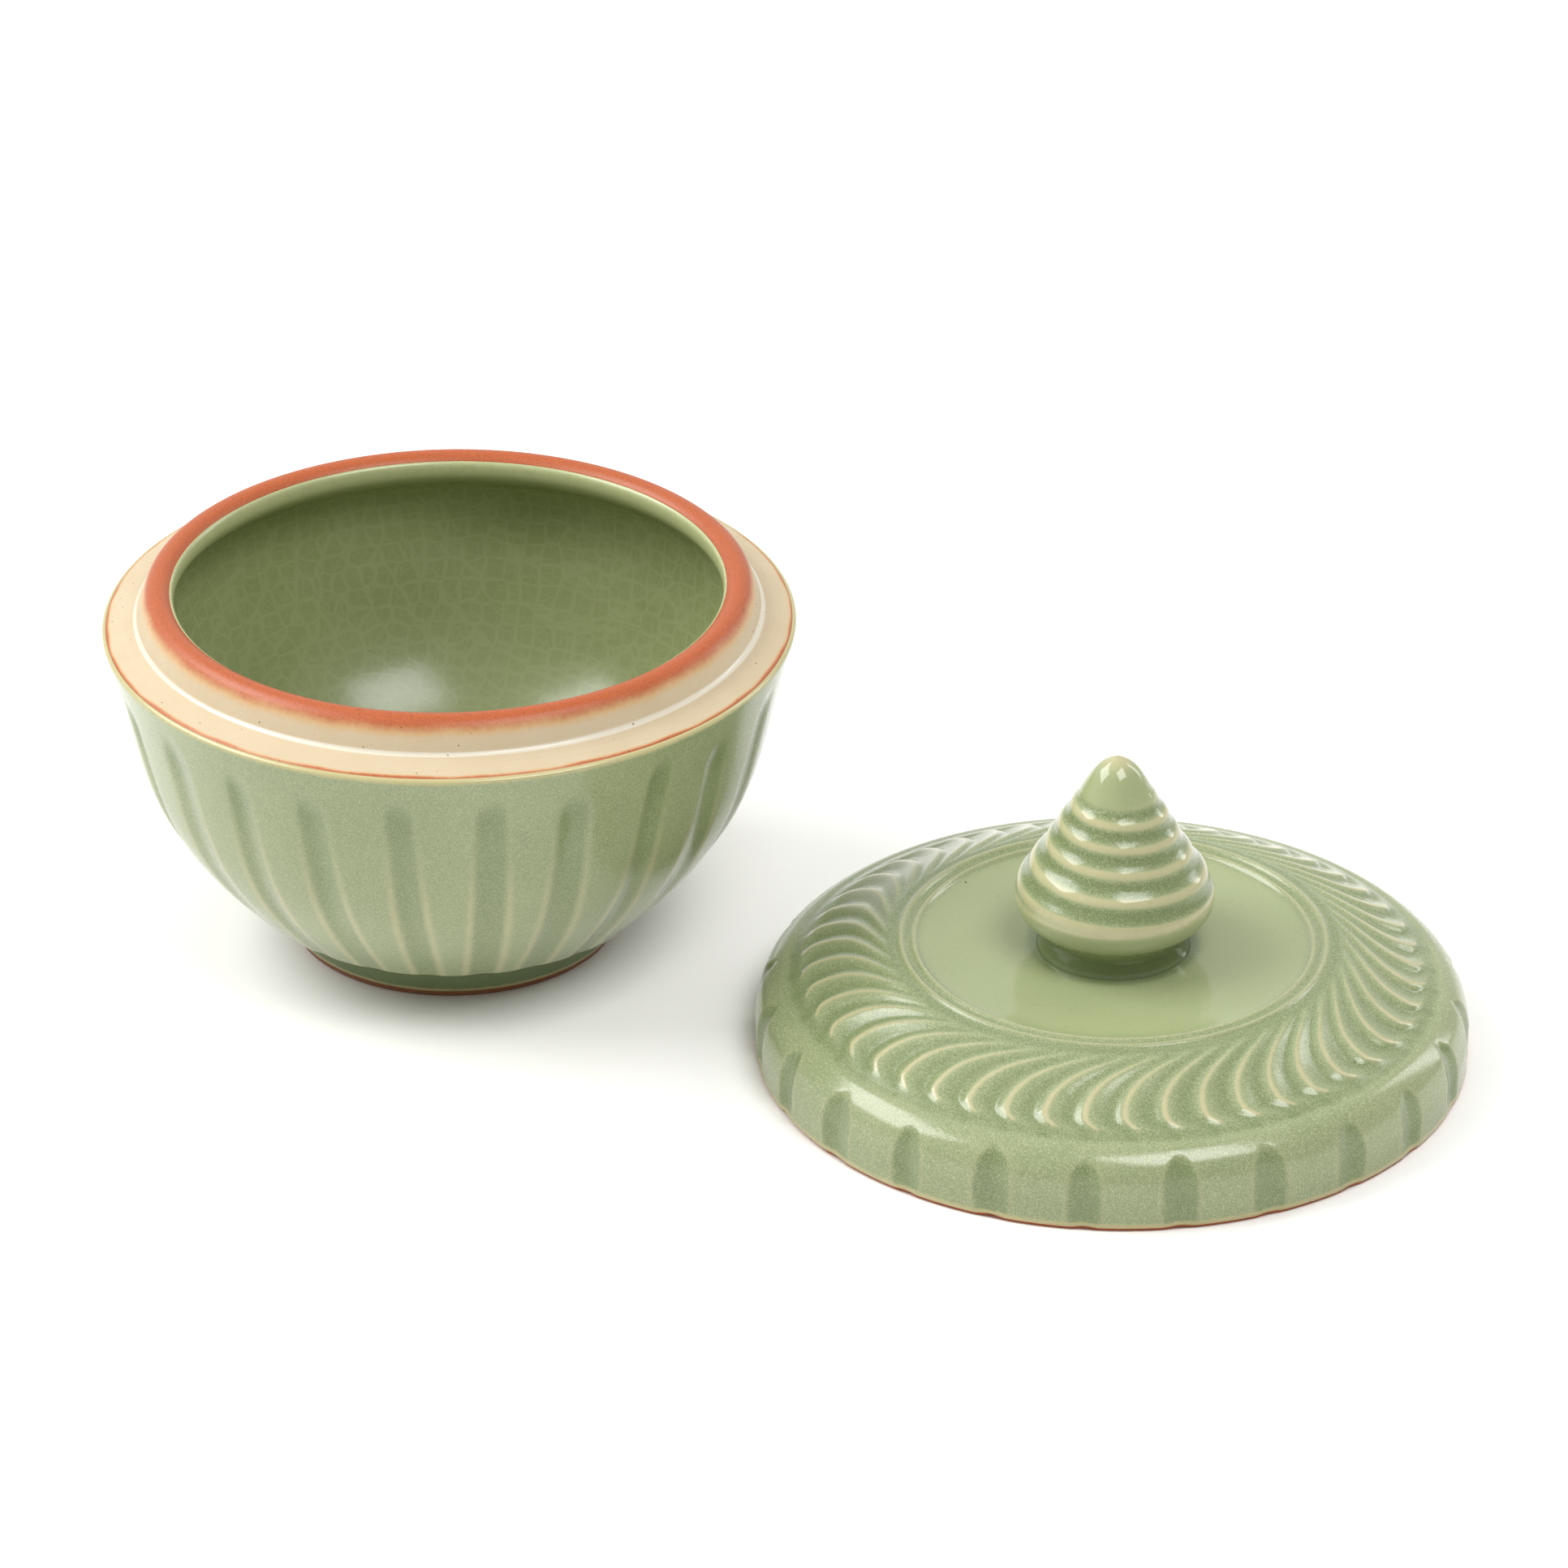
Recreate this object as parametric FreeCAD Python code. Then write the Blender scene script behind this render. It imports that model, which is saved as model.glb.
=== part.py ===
import FreeCAD, Part
import math
import os

# A lidded rice bowl in celadon stoneware: a thrown bowl and a domed lid with a luted-on knob, each clay
# piece under its own coats of glaze. The bowl stands on its foot at the origin, axis along +Z, and the
# lid lies rim down beside it along +X. Lengths are millimetres and angles are degrees.

# Glaze
GLAZE = 0.5                  # thickness on open surfaces
POOLING = 1.2                # carved clay is this much deeper than the glazed surface over it

# Bowl, from the table up
FOOT_RADIUS = 32.4           # glazed foot wall, just above the bare clay
FOOT_ROOT_RADIUS = 33.6
FOOT_ROOT_HEIGHT = 8.6
FOOT_BARE_HEIGHT = 1.6       # wiped clean so that it doesn't stick to the kiln shelf
FOOT_CHAMFER = 0.5
WELL_RADIUS = 26.8
WELL_DEPTH = 6.2
WELL_TAPER = 0.8
LEDGE_RADIUS = 40.6          # lower end of the wall, overhanging the foot
LEDGE_HEIGHT = 9.6
WALL_POINTS = [(63.9, 54.0), (58.4, 34.0), (46.6, 16.0)]
SHOULDER_RADIUS = 67.0
SHOULDER_HEIGHT = 65.8       # where the outer glaze stops
SHOULDER_EDGE = 0.5          # bare edge above the glaze
NECK_ROOT_RADIUS = 60.3
NECK_ROOT_HEIGHT = 68.3
LIP_OUTER_RADIUS = 58.5
LIP_OUTER_HEIGHT = 72.9
LIP_TOP_RADIUS = 55.9
BOWL_HEIGHT = 74.5
MOUTH_RADIUS = 53.5
MOUTH_HEIGHT = 73.4
MOUTH_STRAIGHT = 70.4        # the inside is upright from here to the mouth, and wider below
FLOOR_HEIGHT = 11.8
INSIDE_POINTS = [(20.0, 12.9), (38.0, 19.6), (50.6, 32.4), (57.6, 48.0), (60.4, 59.5), (57.6, 66.4)]

# Flutes carved in the bowl's wall
FLUTES = 24
FLUTE_TOP = 60.5
FLUTE_RUN_IN = 10.0          # height over which a flute reaches its depth
FLUTE_DEPTH = 1.2
FLUTE_HALF_ANGLE_TOP = 2.6
FLUTE_HALF_ANGLE_LEDGE = 4.2
FLUTE_FADE_RADIUS = 35.0     # under the ledge the flutes have died out here

# Lid, in its own place: axis at LID_X, rim on the table
LID_X = 136.5
LID_RADIUS = 68.0
LID_BARE_HEIGHT = 0.8
LID_WALL_TOP = 7.0
LID_SHOULDER = (66.3, 12.4)
BAND_OUTER_RADIUS = 61.6
BAND_OUTER_HEIGHT = 15.8
BAND_MIDDLE = (53.0, 19.7)
BAND_INNER_RADIUS = 42.2
BAND_INNER_HEIGHT = 23.2
RING_RADII = (40.4, 37.9)    # crests of the two thrown rings
RING_WIDTH = 1.1
RING_RISE = 0.9
DISC_HEIGHT = 22.5
DISC_RADIUS = 34.5
RIM_FLAT_RADIUS = 64.4
SOCKET_RADIUS = 61.2         # goes round the root of the bowl's neck
SOCKET_BARE_HEIGHT = 3.0
SOCKET_POINTS = [(61.2, 8.5), (56.5, 14.0), (44.0, 17.3), (20.0, 17.9)]
CEILING_HEIGHT = 18.0

# Recesses round the lid's wall, and the swirl of its upper side
RECESSES = 24
RECESS_HALF_ANGLE = 2.9
RECESS_MIDDLE = 6.0
RECESS_HALF_HEIGHT = 8.2
RECESS_DEPTH = 1.0
SWIRL_RIDGES = 48
SWIRL_DEPTH = 1.1
SWIRL_SWEEP = 20.0           # angle that a ridge turns through on its way in
SWIRL_BULGE = 1.6            # and how far its outer end hooks back
SWIRL_CREST_SHARE = 0.24     # share of one ridge's width that is its steep side
SWIRL_CREST_DROP = 0.15      # the crests lie this share of the depth below the plain band
SWIRL_START = 0.11           # share of the band's width over which the ridges rise at each end
SWIRL_THINNING = 0.65        # share of their depth that the ridges lose on the way in

# Knob
NECK_RADIUS = 14.1
KNOB_TOP = 62.8
KNOB_POINTS = [(3.4, 60.7), (6.0, 57.0), (9.9, 50.8), (14.4, 43.0), (18.5, 36.2), (19.0, 33.2)]
KNOB_UNDERSIDE = [(17.3, 29.5), (14.9, 27.4), (NECK_RADIUS, 25.5)]
SPIRAL_PITCH = 4.75          # rise of the lowest turn
SPIRAL_TIGHTENING = 0.12     # half of what each turn rises less than the one under it
SPIRAL_CREST_HEIGHT = 34.5
SPIRAL_DEPTH = 0.6
SPIRAL_TOP = 58.0
SPIRAL_BOTTOM = 33.5
SPIRAL_FADE = 3.0

# How finely the surfaces are drawn
WALL_SPACING = 1.3           # between the rows of the bowl's wall
FINE_SPACING = 0.6           # between the rows of the lid and the knob
COAT_SPACING = 3.0           # between the points that a turned glaze surface is drawn through
COLUMNS_PER_FLUTE = 12
COLUMNS_PER_RECESS = 12
COLUMNS_PER_RIDGE = 10
DISC_COLUMNS = 240
KNOB_COLUMNS = 48
SEWING = 0.002               # largest gap closed between two faces of one solid
AXIS = FreeCAD.Vector(0, 0, 1)
ORIGIN = FreeCAD.Vector(0, 0, 0)


def at(radius, height):
    """Point of an outline, in the XZ half plane."""
    return FreeCAD.Vector(radius, 0, height)


def spline(points):
    """Smooth edge through outline points given as (radius, height)."""
    curve = Part.BSplineCurve()
    curve.interpolate([at(*point) for point in points])
    return curve.toShape()


def ease(value):
    """0 below 0, 1 above 1, and smooth between."""
    value = min(1.0, max(0.0, value))
    return value * value * (3.0 - 2.0 * value)


def flutes(radius, height, angle):
    """Depth of the scooped flutes down the bowl's wall."""
    pitch = 360.0 / FLUTES
    across = (angle + pitch / 2) % pitch - pitch / 2
    down = (SHOULDER_HEIGHT - height) / (SHOULDER_HEIGHT - LEDGE_HEIGHT)
    half = FLUTE_HALF_ANGLE_TOP + (FLUTE_HALF_ANGLE_LEDGE - FLUTE_HALF_ANGLE_TOP) * down
    scoop = max(0.0, 1.0 - (across / half) ** 2)
    length = ease((FLUTE_TOP - height) / FLUTE_RUN_IN)
    length *= ease((radius - FLUTE_FADE_RADIUS) / (LEDGE_RADIUS - FLUTE_FADE_RADIUS))
    return FLUTE_DEPTH * scoop * length


def recesses(radius, height, angle):
    """Depth of the lens-shaped recesses round the lid's wall."""
    pitch = 360.0 / RECESSES
    across = (angle + pitch / 2) % pitch - pitch / 2
    width = 1.0 - ((height - RECESS_MIDDLE) / RECESS_HALF_HEIGHT) ** 2
    if width <= 0.0:
        return 0.0
    half = RECESS_HALF_ANGLE * math.sqrt(width)
    return RECESS_DEPTH * math.sqrt(width) * max(0.0, 1.0 - (across / half) ** 2)


def swirl(radius, height, angle):
    """Depth below the crests of the swirl's one-sided ridges."""
    inward = (BAND_OUTER_RADIUS - radius) / (BAND_OUTER_RADIUS - BAND_INNER_RADIUS)
    inward = min(1.0, max(0.0, inward))
    crest = SWIRL_SWEEP * inward ** 3.3 - SWIRL_BULGE * math.sin(math.pi * inward)
    phase = ((angle - crest) * SWIRL_RIDGES / 360.0) % 1.0
    gentle = 1.0 - SWIRL_CREST_SHARE
    if phase < gentle:
        depth = 0.5 - 0.5 * math.cos(math.pi * phase / gentle)
    else:
        depth = 0.5 + 0.5 * math.cos(math.pi * (phase - gentle) / SWIRL_CREST_SHARE)
    depth = SWIRL_CREST_DROP + (1.0 - SWIRL_CREST_DROP) * depth
    ends = ease(inward / SWIRL_START) * ease((1.0 - inward) / SWIRL_START)
    return SWIRL_DEPTH * depth * ends * (1.0 - SWIRL_THINNING * inward)


def rings(radius, height, angle):
    """The two thrown rings between the disc and the swirl stand proud, so their depth is negative."""
    rise = sum(1.0 - ease(abs(radius - crest) / RING_WIDTH) for crest in RING_RADII)
    return -RING_RISE * rise


def spiral(radius, height, angle):
    """Depth of the groove that winds down the knob, its turns closer together towards the tip."""
    rise = height - SPIRAL_CREST_HEIGHT
    root = math.sqrt(SPIRAL_PITCH ** 2 - 4.0 * SPIRAL_TIGHTENING * rise)
    phase = (SPIRAL_PITCH - root) / (2.0 * SPIRAL_TIGHTENING) + angle / 360.0
    groove = 0.5 - 0.5 * math.cos(2.0 * math.pi * phase)
    ends = ease((SPIRAL_TOP - height) / SPIRAL_FADE)
    ends *= ease((height - SPIRAL_BOTTOM) / SPIRAL_FADE)
    return SPIRAL_DEPTH * groove * ends


def rows_along(outline, spacing, flat_start=False, flat_end=False):
    """Points along an outline, each with the unit direction into the clay: (radius, height, inward, up).

    The outline keeps the clay on its right. A flat end keeps its height when it is pushed in, so that a
    level face can close it.
    """
    wire = Part.Wire(outline)
    count = max(8, round(wire.Length / spacing))
    points = wire.discretize(Number=count)
    rows = []
    for index, point in enumerate(points):
        before = points[max(0, index - 1)]
        after = points[min(count - 1, index + 1)]
        along = (after - before).normalize()
        inward = (along.z, -along.x)
        if (flat_start and index == 0) or (flat_end and index == count - 1):
            inward = (-1.0, 0.0)
        elif point.x < 1e-6:
            inward = (0.0, -1.0)
        rows.append((point.x, point.z) + inward)
    return rows


def carved_face(rows, relief, columns, under_glaze=False):
    """Closed face about Z through the rows, pushed in by the relief, and by the glaze if it is clay."""
    step = 2.0 * math.pi / columns
    swell = 3.0 / (2.0 + math.cos(step))     # a cubic runs this much inside poles set on a circle
    poles = []
    for column in range(columns):
        turn = (column - 1) * step
        strip = []
        for radius, height, inward, up in rows:
            push = relief(radius, height, math.degrees(turn))
            if under_glaze:
                push = GLAZE + POOLING * push
            reach = (radius + inward * push) * swell
            strip.append(FreeCAD.Vector(reach * math.cos(turn), reach * math.sin(turn), height + up * push))
        poles.append(strip)
    spans = len(rows) - 3
    surface = Part.BSplineSurface()
    surface.buildFromPolesMultsKnots(
        poles,
        [1] * (columns + 1),
        [4] + [1] * (spans - 1) + [4],
        [float(knot) for knot in range(columns + 1)],
        [float(knot) for knot in range(spans + 1)],
        True,
        False,
        3,
        3,
    )
    return surface.toShape()


def turned_faces(edges):
    """Faces of an outline turned once round Z."""
    return Part.Wire(edges).revolve(ORIGIN, AXIS, 360).Faces


def level_ring(outer_edge, inner_edge):
    """Flat face between two closed edges at one height."""
    face = Part.Face(Part.Wire(outer_edge))
    hole = Part.Face(Part.Wire(inner_edge))
    return face.cut(hole).Faces[0]


def edge_at(face, height):
    """Closed boundary edge of a face at a height."""
    level = [e for e in face.Edges if e.BoundBox.ZLength < 0.01 and abs(e.BoundBox.ZMin - height) < 0.01]
    return max(level, key=lambda e: e.Length)


def closed_solid(faces):
    """One solid from the faces that bound it."""
    skin = Part.Compound(faces)
    skin.sewShape(SEWING)
    solid = Part.Solid(skin.Shells[0])
    if solid.Volume < 0:
        solid.reverse()
    return solid


def polyline(points):
    """Straight edges through outline points."""
    return [Part.makeLine(at(*a), at(*b)) for a, b in zip(points, points[1:])]


def bowl_wall_rows():
    """Glazed outside of the bowl, from the shoulder down over the ledge to the bare foot."""
    wall = spline([(SHOULDER_RADIUS, SHOULDER_HEIGHT)] + WALL_POINTS + [(LEDGE_RADIUS, LEDGE_HEIGHT)])
    under = polyline([(LEDGE_RADIUS, LEDGE_HEIGHT), (FOOT_ROOT_RADIUS, FOOT_ROOT_HEIGHT)])
    foot = polyline([(FOOT_ROOT_RADIUS, FOOT_ROOT_HEIGHT), (FOOT_RADIUS, FOOT_BARE_HEIGHT)])
    return rows_along([wall] + under + foot, WALL_SPACING, flat_start=True, flat_end=True)


def bowl_inside_edge():
    """Clay surface inside the bowl, from the middle of the floor to the mouth."""
    mouth = [(MOUTH_RADIUS, MOUTH_STRAIGHT), (MOUTH_RADIUS, MOUTH_HEIGHT)]
    return spline([(0.0, FLOOR_HEIGHT)] + INSIDE_POINTS + mouth)


def bowl_top_edges():
    """Bare shoulder, neck and lip, from the outer glaze up to the mouth."""
    edge_top = SHOULDER_HEIGHT + SHOULDER_EDGE
    edges = polyline([
        (SHOULDER_RADIUS - GLAZE, SHOULDER_HEIGHT),
        (SHOULDER_RADIUS, SHOULDER_HEIGHT),
        (SHOULDER_RADIUS, edge_top),
        (NECK_ROOT_RADIUS, NECK_ROOT_HEIGHT),
        (LIP_OUTER_RADIUS, LIP_OUTER_HEIGHT),
    ])
    lip = Part.Arc(
        at(LIP_OUTER_RADIUS, LIP_OUTER_HEIGHT),
        at(LIP_TOP_RADIUS, BOWL_HEIGHT),
        at(MOUTH_RADIUS, MOUTH_HEIGHT),
    )
    return edges + [lip.toShape()]


def well_edge_points():
    """Clay surface of the well under the foot, from its mouth to the axis."""
    return [(WELL_RADIUS + WELL_TAPER, FOOT_BARE_HEIGHT), (WELL_RADIUS, WELL_DEPTH), (0.0, WELL_DEPTH)]


def bowl_foot_edges():
    """Bare bottom of the foot, then the well under it."""
    inner = WELL_RADIUS + WELL_TAPER
    clay = FOOT_RADIUS - GLAZE
    return polyline([
        (clay, FOOT_BARE_HEIGHT),
        (clay, FOOT_CHAMFER),
        (clay - FOOT_CHAMFER, 0.0),
        (inner + FOOT_CHAMFER, 0.0),
        (inner, FOOT_CHAMFER),
    ] + well_edge_points())


def make_bowl_body():
    wall = carved_face(bowl_wall_rows(), flutes, FLUTES * COLUMNS_PER_FLUTE, under_glaze=True)
    return closed_solid(
        [wall] + turned_faces(bowl_top_edges() + [bowl_inside_edge()]) + turned_faces(bowl_foot_edges())
    )


def make_bowl_outer_glaze():
    outer = carved_face(bowl_wall_rows(), flutes, FLUTES * COLUMNS_PER_FLUTE)
    inner = carved_face(bowl_wall_rows(), flutes, FLUTES * COLUMNS_PER_FLUTE, under_glaze=True)
    rings = [
        level_ring(edge_at(outer, height), edge_at(inner, height))
        for height in (SHOULDER_HEIGHT, FOOT_BARE_HEIGHT)
    ]
    return closed_solid([outer, inner] + rings)


def coat(edge, start, end):
    """Glaze over one turned clay surface, between the start and end points of its own outer side."""
    rows = rows_along([edge], COAT_SPACING)
    middle = [(radius - GLAZE * inward, height - GLAZE * up) for radius, height, inward, up in rows[2:-2]]
    glaze = spline([start] + middle + [end])
    first = edge.valueAt(edge.FirstParameter)
    last = edge.valueAt(edge.LastParameter)
    outline = Part.Wire([edge, Part.makeLine(last, at(*end)), glaze, Part.makeLine(at(*start), first)])
    return Part.Face(outline).revolve(ORIGIN, AXIS, 360)


def make_bowl_inner_glaze():
    return coat(bowl_inside_edge(), (0.0, FLOOR_HEIGHT + GLAZE), (MOUTH_RADIUS - GLAZE, MOUTH_HEIGHT))


def make_foot_well_glaze():
    clay = well_edge_points()
    glaze = [(0.0, WELL_DEPTH - GLAZE), (WELL_RADIUS - GLAZE, WELL_DEPTH - GLAZE)]
    glaze += [(WELL_RADIUS + WELL_TAPER - GLAZE, FOOT_BARE_HEIGHT), clay[0]]
    return Part.Face(Part.Wire(polyline(clay + glaze))).revolve(ORIGIN, AXIS, 360)


def lid_rows():
    """Glazed outside of the lid, from the knob's neck out over the rings, the swirl and the wall."""
    disc = polyline([(NECK_RADIUS, DISC_HEIGHT), (DISC_RADIUS, DISC_HEIGHT)])
    band = spline([
        (DISC_RADIUS, DISC_HEIGHT),
        (BAND_INNER_RADIUS, BAND_INNER_HEIGHT),
        BAND_MIDDLE,
        (BAND_OUTER_RADIUS, BAND_OUTER_HEIGHT),
        LID_SHOULDER,
        (LID_RADIUS, LID_WALL_TOP),
    ])
    wall = polyline([(LID_RADIUS, LID_WALL_TOP), (LID_RADIUS, LID_BARE_HEIGHT)])
    return rows_along(disc + [band] + wall, FINE_SPACING, flat_end=True)


def lid_faces(under_glaze=False):
    """The lid's carved outside as three faces that meet where the relief is nil: disc, swirl and wall."""
    rows = lid_rows()
    inner = max(index for index, row in enumerate(rows) if row[0] < BAND_INNER_RADIUS)
    outer = min(index for index, row in enumerate(rows) if row[0] > BAND_OUTER_RADIUS)
    return [
        carved_face(rows[:inner + 1], rings, DISC_COLUMNS, under_glaze),
        carved_face(rows[inner:outer + 1], swirl, SWIRL_RIDGES * COLUMNS_PER_RIDGE, under_glaze),
        carved_face(rows[outer:], recesses, RECESSES * COLUMNS_PER_RECESS, under_glaze),
    ]


def lid_inside_edge():
    """Clay surface inside the lid, from the top of its bare rim to the middle of the ceiling."""
    return spline([(SOCKET_RADIUS, SOCKET_BARE_HEIGHT)] + SOCKET_POINTS + [(0.0, CEILING_HEIGHT)])


def lid_rim_slope():
    """How far the rim's seat rises from its flat to the socket, parallel to the bowl's shoulder."""
    fall = NECK_ROOT_HEIGHT - SHOULDER_HEIGHT - SHOULDER_EDGE
    return (RIM_FLAT_RADIUS - SOCKET_RADIUS) * fall / (SHOULDER_RADIUS - NECK_ROOT_RADIUS)


def make_lid_body():
    faces = lid_faces(under_glaze=True)
    bare_rows = [(LID_RADIUS, LID_BARE_HEIGHT * share / 3.0, -1.0, 0.0) for share in (3, 2, 1, 0)]
    bare = carved_face(bare_rows, recesses, RECESSES * COLUMNS_PER_RECESS, under_glaze=True)
    seat = Part.Face(Part.Wire(edge_at(faces[0], DISC_HEIGHT - GLAZE)))
    flat_edge = Part.makeCircle(RIM_FLAT_RADIUS)
    rim = level_ring(edge_at(bare, 0.0), flat_edge)
    inside = polyline([
        (RIM_FLAT_RADIUS, 0.0),
        (SOCKET_RADIUS, lid_rim_slope()),
        (SOCKET_RADIUS, SOCKET_BARE_HEIGHT),
    ])
    return closed_solid(faces + [bare, seat, rim] + turned_faces(inside + [lid_inside_edge()]))


def make_lid_outer_glaze():
    outer = lid_faces()
    inner = lid_faces(under_glaze=True)
    neck_end = turned_faces(polyline([(NECK_RADIUS, DISC_HEIGHT), (NECK_RADIUS, DISC_HEIGHT - GLAZE)]))
    foot = level_ring(edge_at(outer[2], LID_BARE_HEIGHT), edge_at(inner[2], LID_BARE_HEIGHT))
    return closed_solid(outer + inner + neck_end + [foot])


def make_lid_inner_glaze():
    return coat(lid_inside_edge(), (SOCKET_RADIUS - GLAZE, SOCKET_BARE_HEIGHT), (0.0, CEILING_HEIGHT - GLAZE))


def knob_face(under_glaze=False):
    """Outside of the knob, from its tip down the spiral and the neck to the lid."""
    cone = spline([(0.0, KNOB_TOP)] + KNOB_POINTS + KNOB_UNDERSIDE)
    neck = polyline([KNOB_UNDERSIDE[-1], (NECK_RADIUS, DISC_HEIGHT - GLAZE)])
    rows = rows_along([cone] + neck, FINE_SPACING, flat_end=True)
    return carved_face(rows, spiral, KNOB_COLUMNS, under_glaze)


def make_knob():
    skin = knob_face(under_glaze=True)
    return closed_solid([skin, Part.Face(Part.Wire(edge_at(skin, DISC_HEIGHT - GLAZE)))])


def make_knob_glaze():
    outer = knob_face()
    inner = knob_face(under_glaze=True)
    height = DISC_HEIGHT - GLAZE
    return closed_solid([outer, inner, level_ring(edge_at(outer, height), edge_at(inner, height))])


BOWL = {
    "bowl_body": make_bowl_body,
    "bowl_outer_glaze": make_bowl_outer_glaze,
    "bowl_inner_glaze": make_bowl_inner_glaze,
    "foot_well_glaze": make_foot_well_glaze,
}
LID = {
    "lid_body": make_lid_body,
    "lid_outer_glaze": make_lid_outer_glaze,
    "lid_inner_glaze": make_lid_inner_glaze,
    "knob": make_knob,
    "knob_glaze": make_knob_glaze,
}


def main():
    os.makedirs("parts", exist_ok=True)
    for group, shift in ((BOWL, 0.0), (LID, LID_X)):
        for node, make in group.items():
            shape = make()
            shape.translate(FreeCAD.Vector(shift, 0, 0))
            shape.exportStep(f"parts/{node}.step")
            print(node, "valid" if shape.isValid() else "INVALID", f"{shape.Volume / 1000.0:.2f} cm3")


main()
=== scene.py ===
import math

import bpy
import numpy as np
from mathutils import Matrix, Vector


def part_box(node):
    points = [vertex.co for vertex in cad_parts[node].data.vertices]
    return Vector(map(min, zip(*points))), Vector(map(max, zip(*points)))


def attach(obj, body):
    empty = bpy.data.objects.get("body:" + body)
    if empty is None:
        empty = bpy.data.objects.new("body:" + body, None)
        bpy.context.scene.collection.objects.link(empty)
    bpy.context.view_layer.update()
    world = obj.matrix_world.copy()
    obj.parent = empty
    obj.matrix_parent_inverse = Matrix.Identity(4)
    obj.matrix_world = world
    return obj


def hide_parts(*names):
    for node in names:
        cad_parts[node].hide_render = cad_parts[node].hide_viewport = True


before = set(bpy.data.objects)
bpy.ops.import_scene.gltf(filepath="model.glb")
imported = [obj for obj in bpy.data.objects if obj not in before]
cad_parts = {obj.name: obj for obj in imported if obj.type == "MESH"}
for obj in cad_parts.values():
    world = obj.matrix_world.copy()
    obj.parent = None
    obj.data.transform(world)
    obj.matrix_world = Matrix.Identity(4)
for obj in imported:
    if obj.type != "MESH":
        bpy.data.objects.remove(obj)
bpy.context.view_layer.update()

# The looks of a lidded celadon rice bowl. Outlines are (radius, height) in millimetres about the bowl's or
# the lid's own axis, with the clay on the right of the way they run, and lathe() turns them into meshes.
# Numbers for thinness, pooling and mottle say how thin, deep and mottled the glaze is, from 0 to about 1;
# the pooling number also carries painted shade under the knob, round its neck and under the bowl's ledge.

MM = 0.001
rng = np.random.RandomState(24)

# Places, from the frame
BOWL_AXIS = 0.0
lid_low, lid_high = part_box("lid_body")
LID_AXIS = (lid_low.x + lid_high.x) / 2 / MM

# Glaze
COAT = 0.5
HIDDEN = 1.75                # depth of a coat's unseen back under its deepest carving
CLAY_HIDDEN = HIDDEN + 0.4   # depth of the clay's unseen side, behind that
SUNK = 0.1                   # by which the inner glaze's back lies in the bowl's clay
EVEN = 9.0                   # an edge value far from any edge
WOBBLE = 0.06                # unevenness of the thrown walls
LID_WOBBLE = 0.6             # share of that on the lid

# Bowl
FOOT_RADIUS = 32.4
FOOT_ROOT = (33.6, 8.6)
FOOT_BARE = 1.6
WELL_RADIUS = 26.8
WELL_MOUTH = 27.6
WELL_DEPTH = 6.2
LEDGE = (40.6, 9.6)
LEDGE_THIN = 0.8
LEDGE_THIN_WIDTH = 0.837
WALL = [(63.9, 54.0), (58.4, 34.0), (46.6, 16.0)]
SHOULDER = (67.0, 65.8)
SHOULDER_TOP = 66.3
NECK_ROOT = (60.3, 68.3)
LIP_OUTER = (58.5, 72.9)
LIP_TOP = (55.9, 74.5)
MOUTH = (53.5, 73.4)
INSIDE = [(20.0, 12.9), (38.0, 19.6), (50.6, 32.4), (57.6, 48.0), (60.4, 59.5), (57.6, 66.4), (53.5, 70.4)]
FLOOR = 11.8

FLUTES = 24
FLUTE_PITCH = 360.0 / FLUTES
FLUTE_TOP = 63.4
FLUTE_RUN_IN = 8.0           # height over which a flute reaches its depth, down from its top
FLUTE_WIDENING = 6.0         # and its width
FLUTE_TIP = 0.4              # share of its width that it starts with
FLUTE_DEPTH = 0.744
FLUTE_SHALLOW = 0.35         # share of its depth that it keeps at the ledge
FLUTE_DEEP_FROM = 25.6       # height from which it has all of it
FLUTE_HALF_TOP = 2.6         # degrees
FLUTE_HALF_LEDGE = 4.2
FLUTE_REACH = 1.25           # half widths from its middle to where its scoop ends
FLUTE_UPRIGHT = 35.0         # height where a slanting flute is in its place
FLUTE_FADE = 35.0            # radius under the ledge where the flutes have run out
FLUTE_EDGE = 1.02            # half widths from its middle to its edge
FLUTE_EDGE_WIDTH = 1.1
FLUTE_EDGE_THIN = (0.08, 0.54)
FLUTE_EDGE_HEIGHTS = (62.0, 28.0)
FLUTE_POOL = 0.40            # and twice that near its top
FLUTE_POOL_HALVES = (1.118, 0.529)
FLUTE_POOL_TOP = FLUTE_TOP - 5.0
FLUTE_POOL_HEIGHT = 6.0
WALL_MOTTLE = 0.55
FLUTE_MOTTLE = 0.5
FLUTE_JITTER = {
    "centre": rng.uniform(-0.8, 0.8, FLUTES),
    "slant": rng.uniform(-0.04, 0.04, FLUTES),
    "half": rng.uniform(0.78, 1.18, FLUTES),
    "depth": rng.uniform(0.75, 1.0, FLUTES),
    "top": rng.uniform(-2.6, 1.2, FLUTES),
}

# Bare clay; a flash of 1 is orange, and beyond that it is orange darkened to brown as painted shade, on the
# foot's ring
LIP_FLASH_RADII = (LIP_OUTER[0] + 1.5, LIP_OUTER[0] - 1.1)
LIP_FLASH_HEIGHTS = (68.5, 72.5)
SHOULDER_FLASH = 0.75
SHOULDER_FLASH_RADII = (SHOULDER[0] - 2.0, SHOULDER[0] - 0.9)
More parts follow.
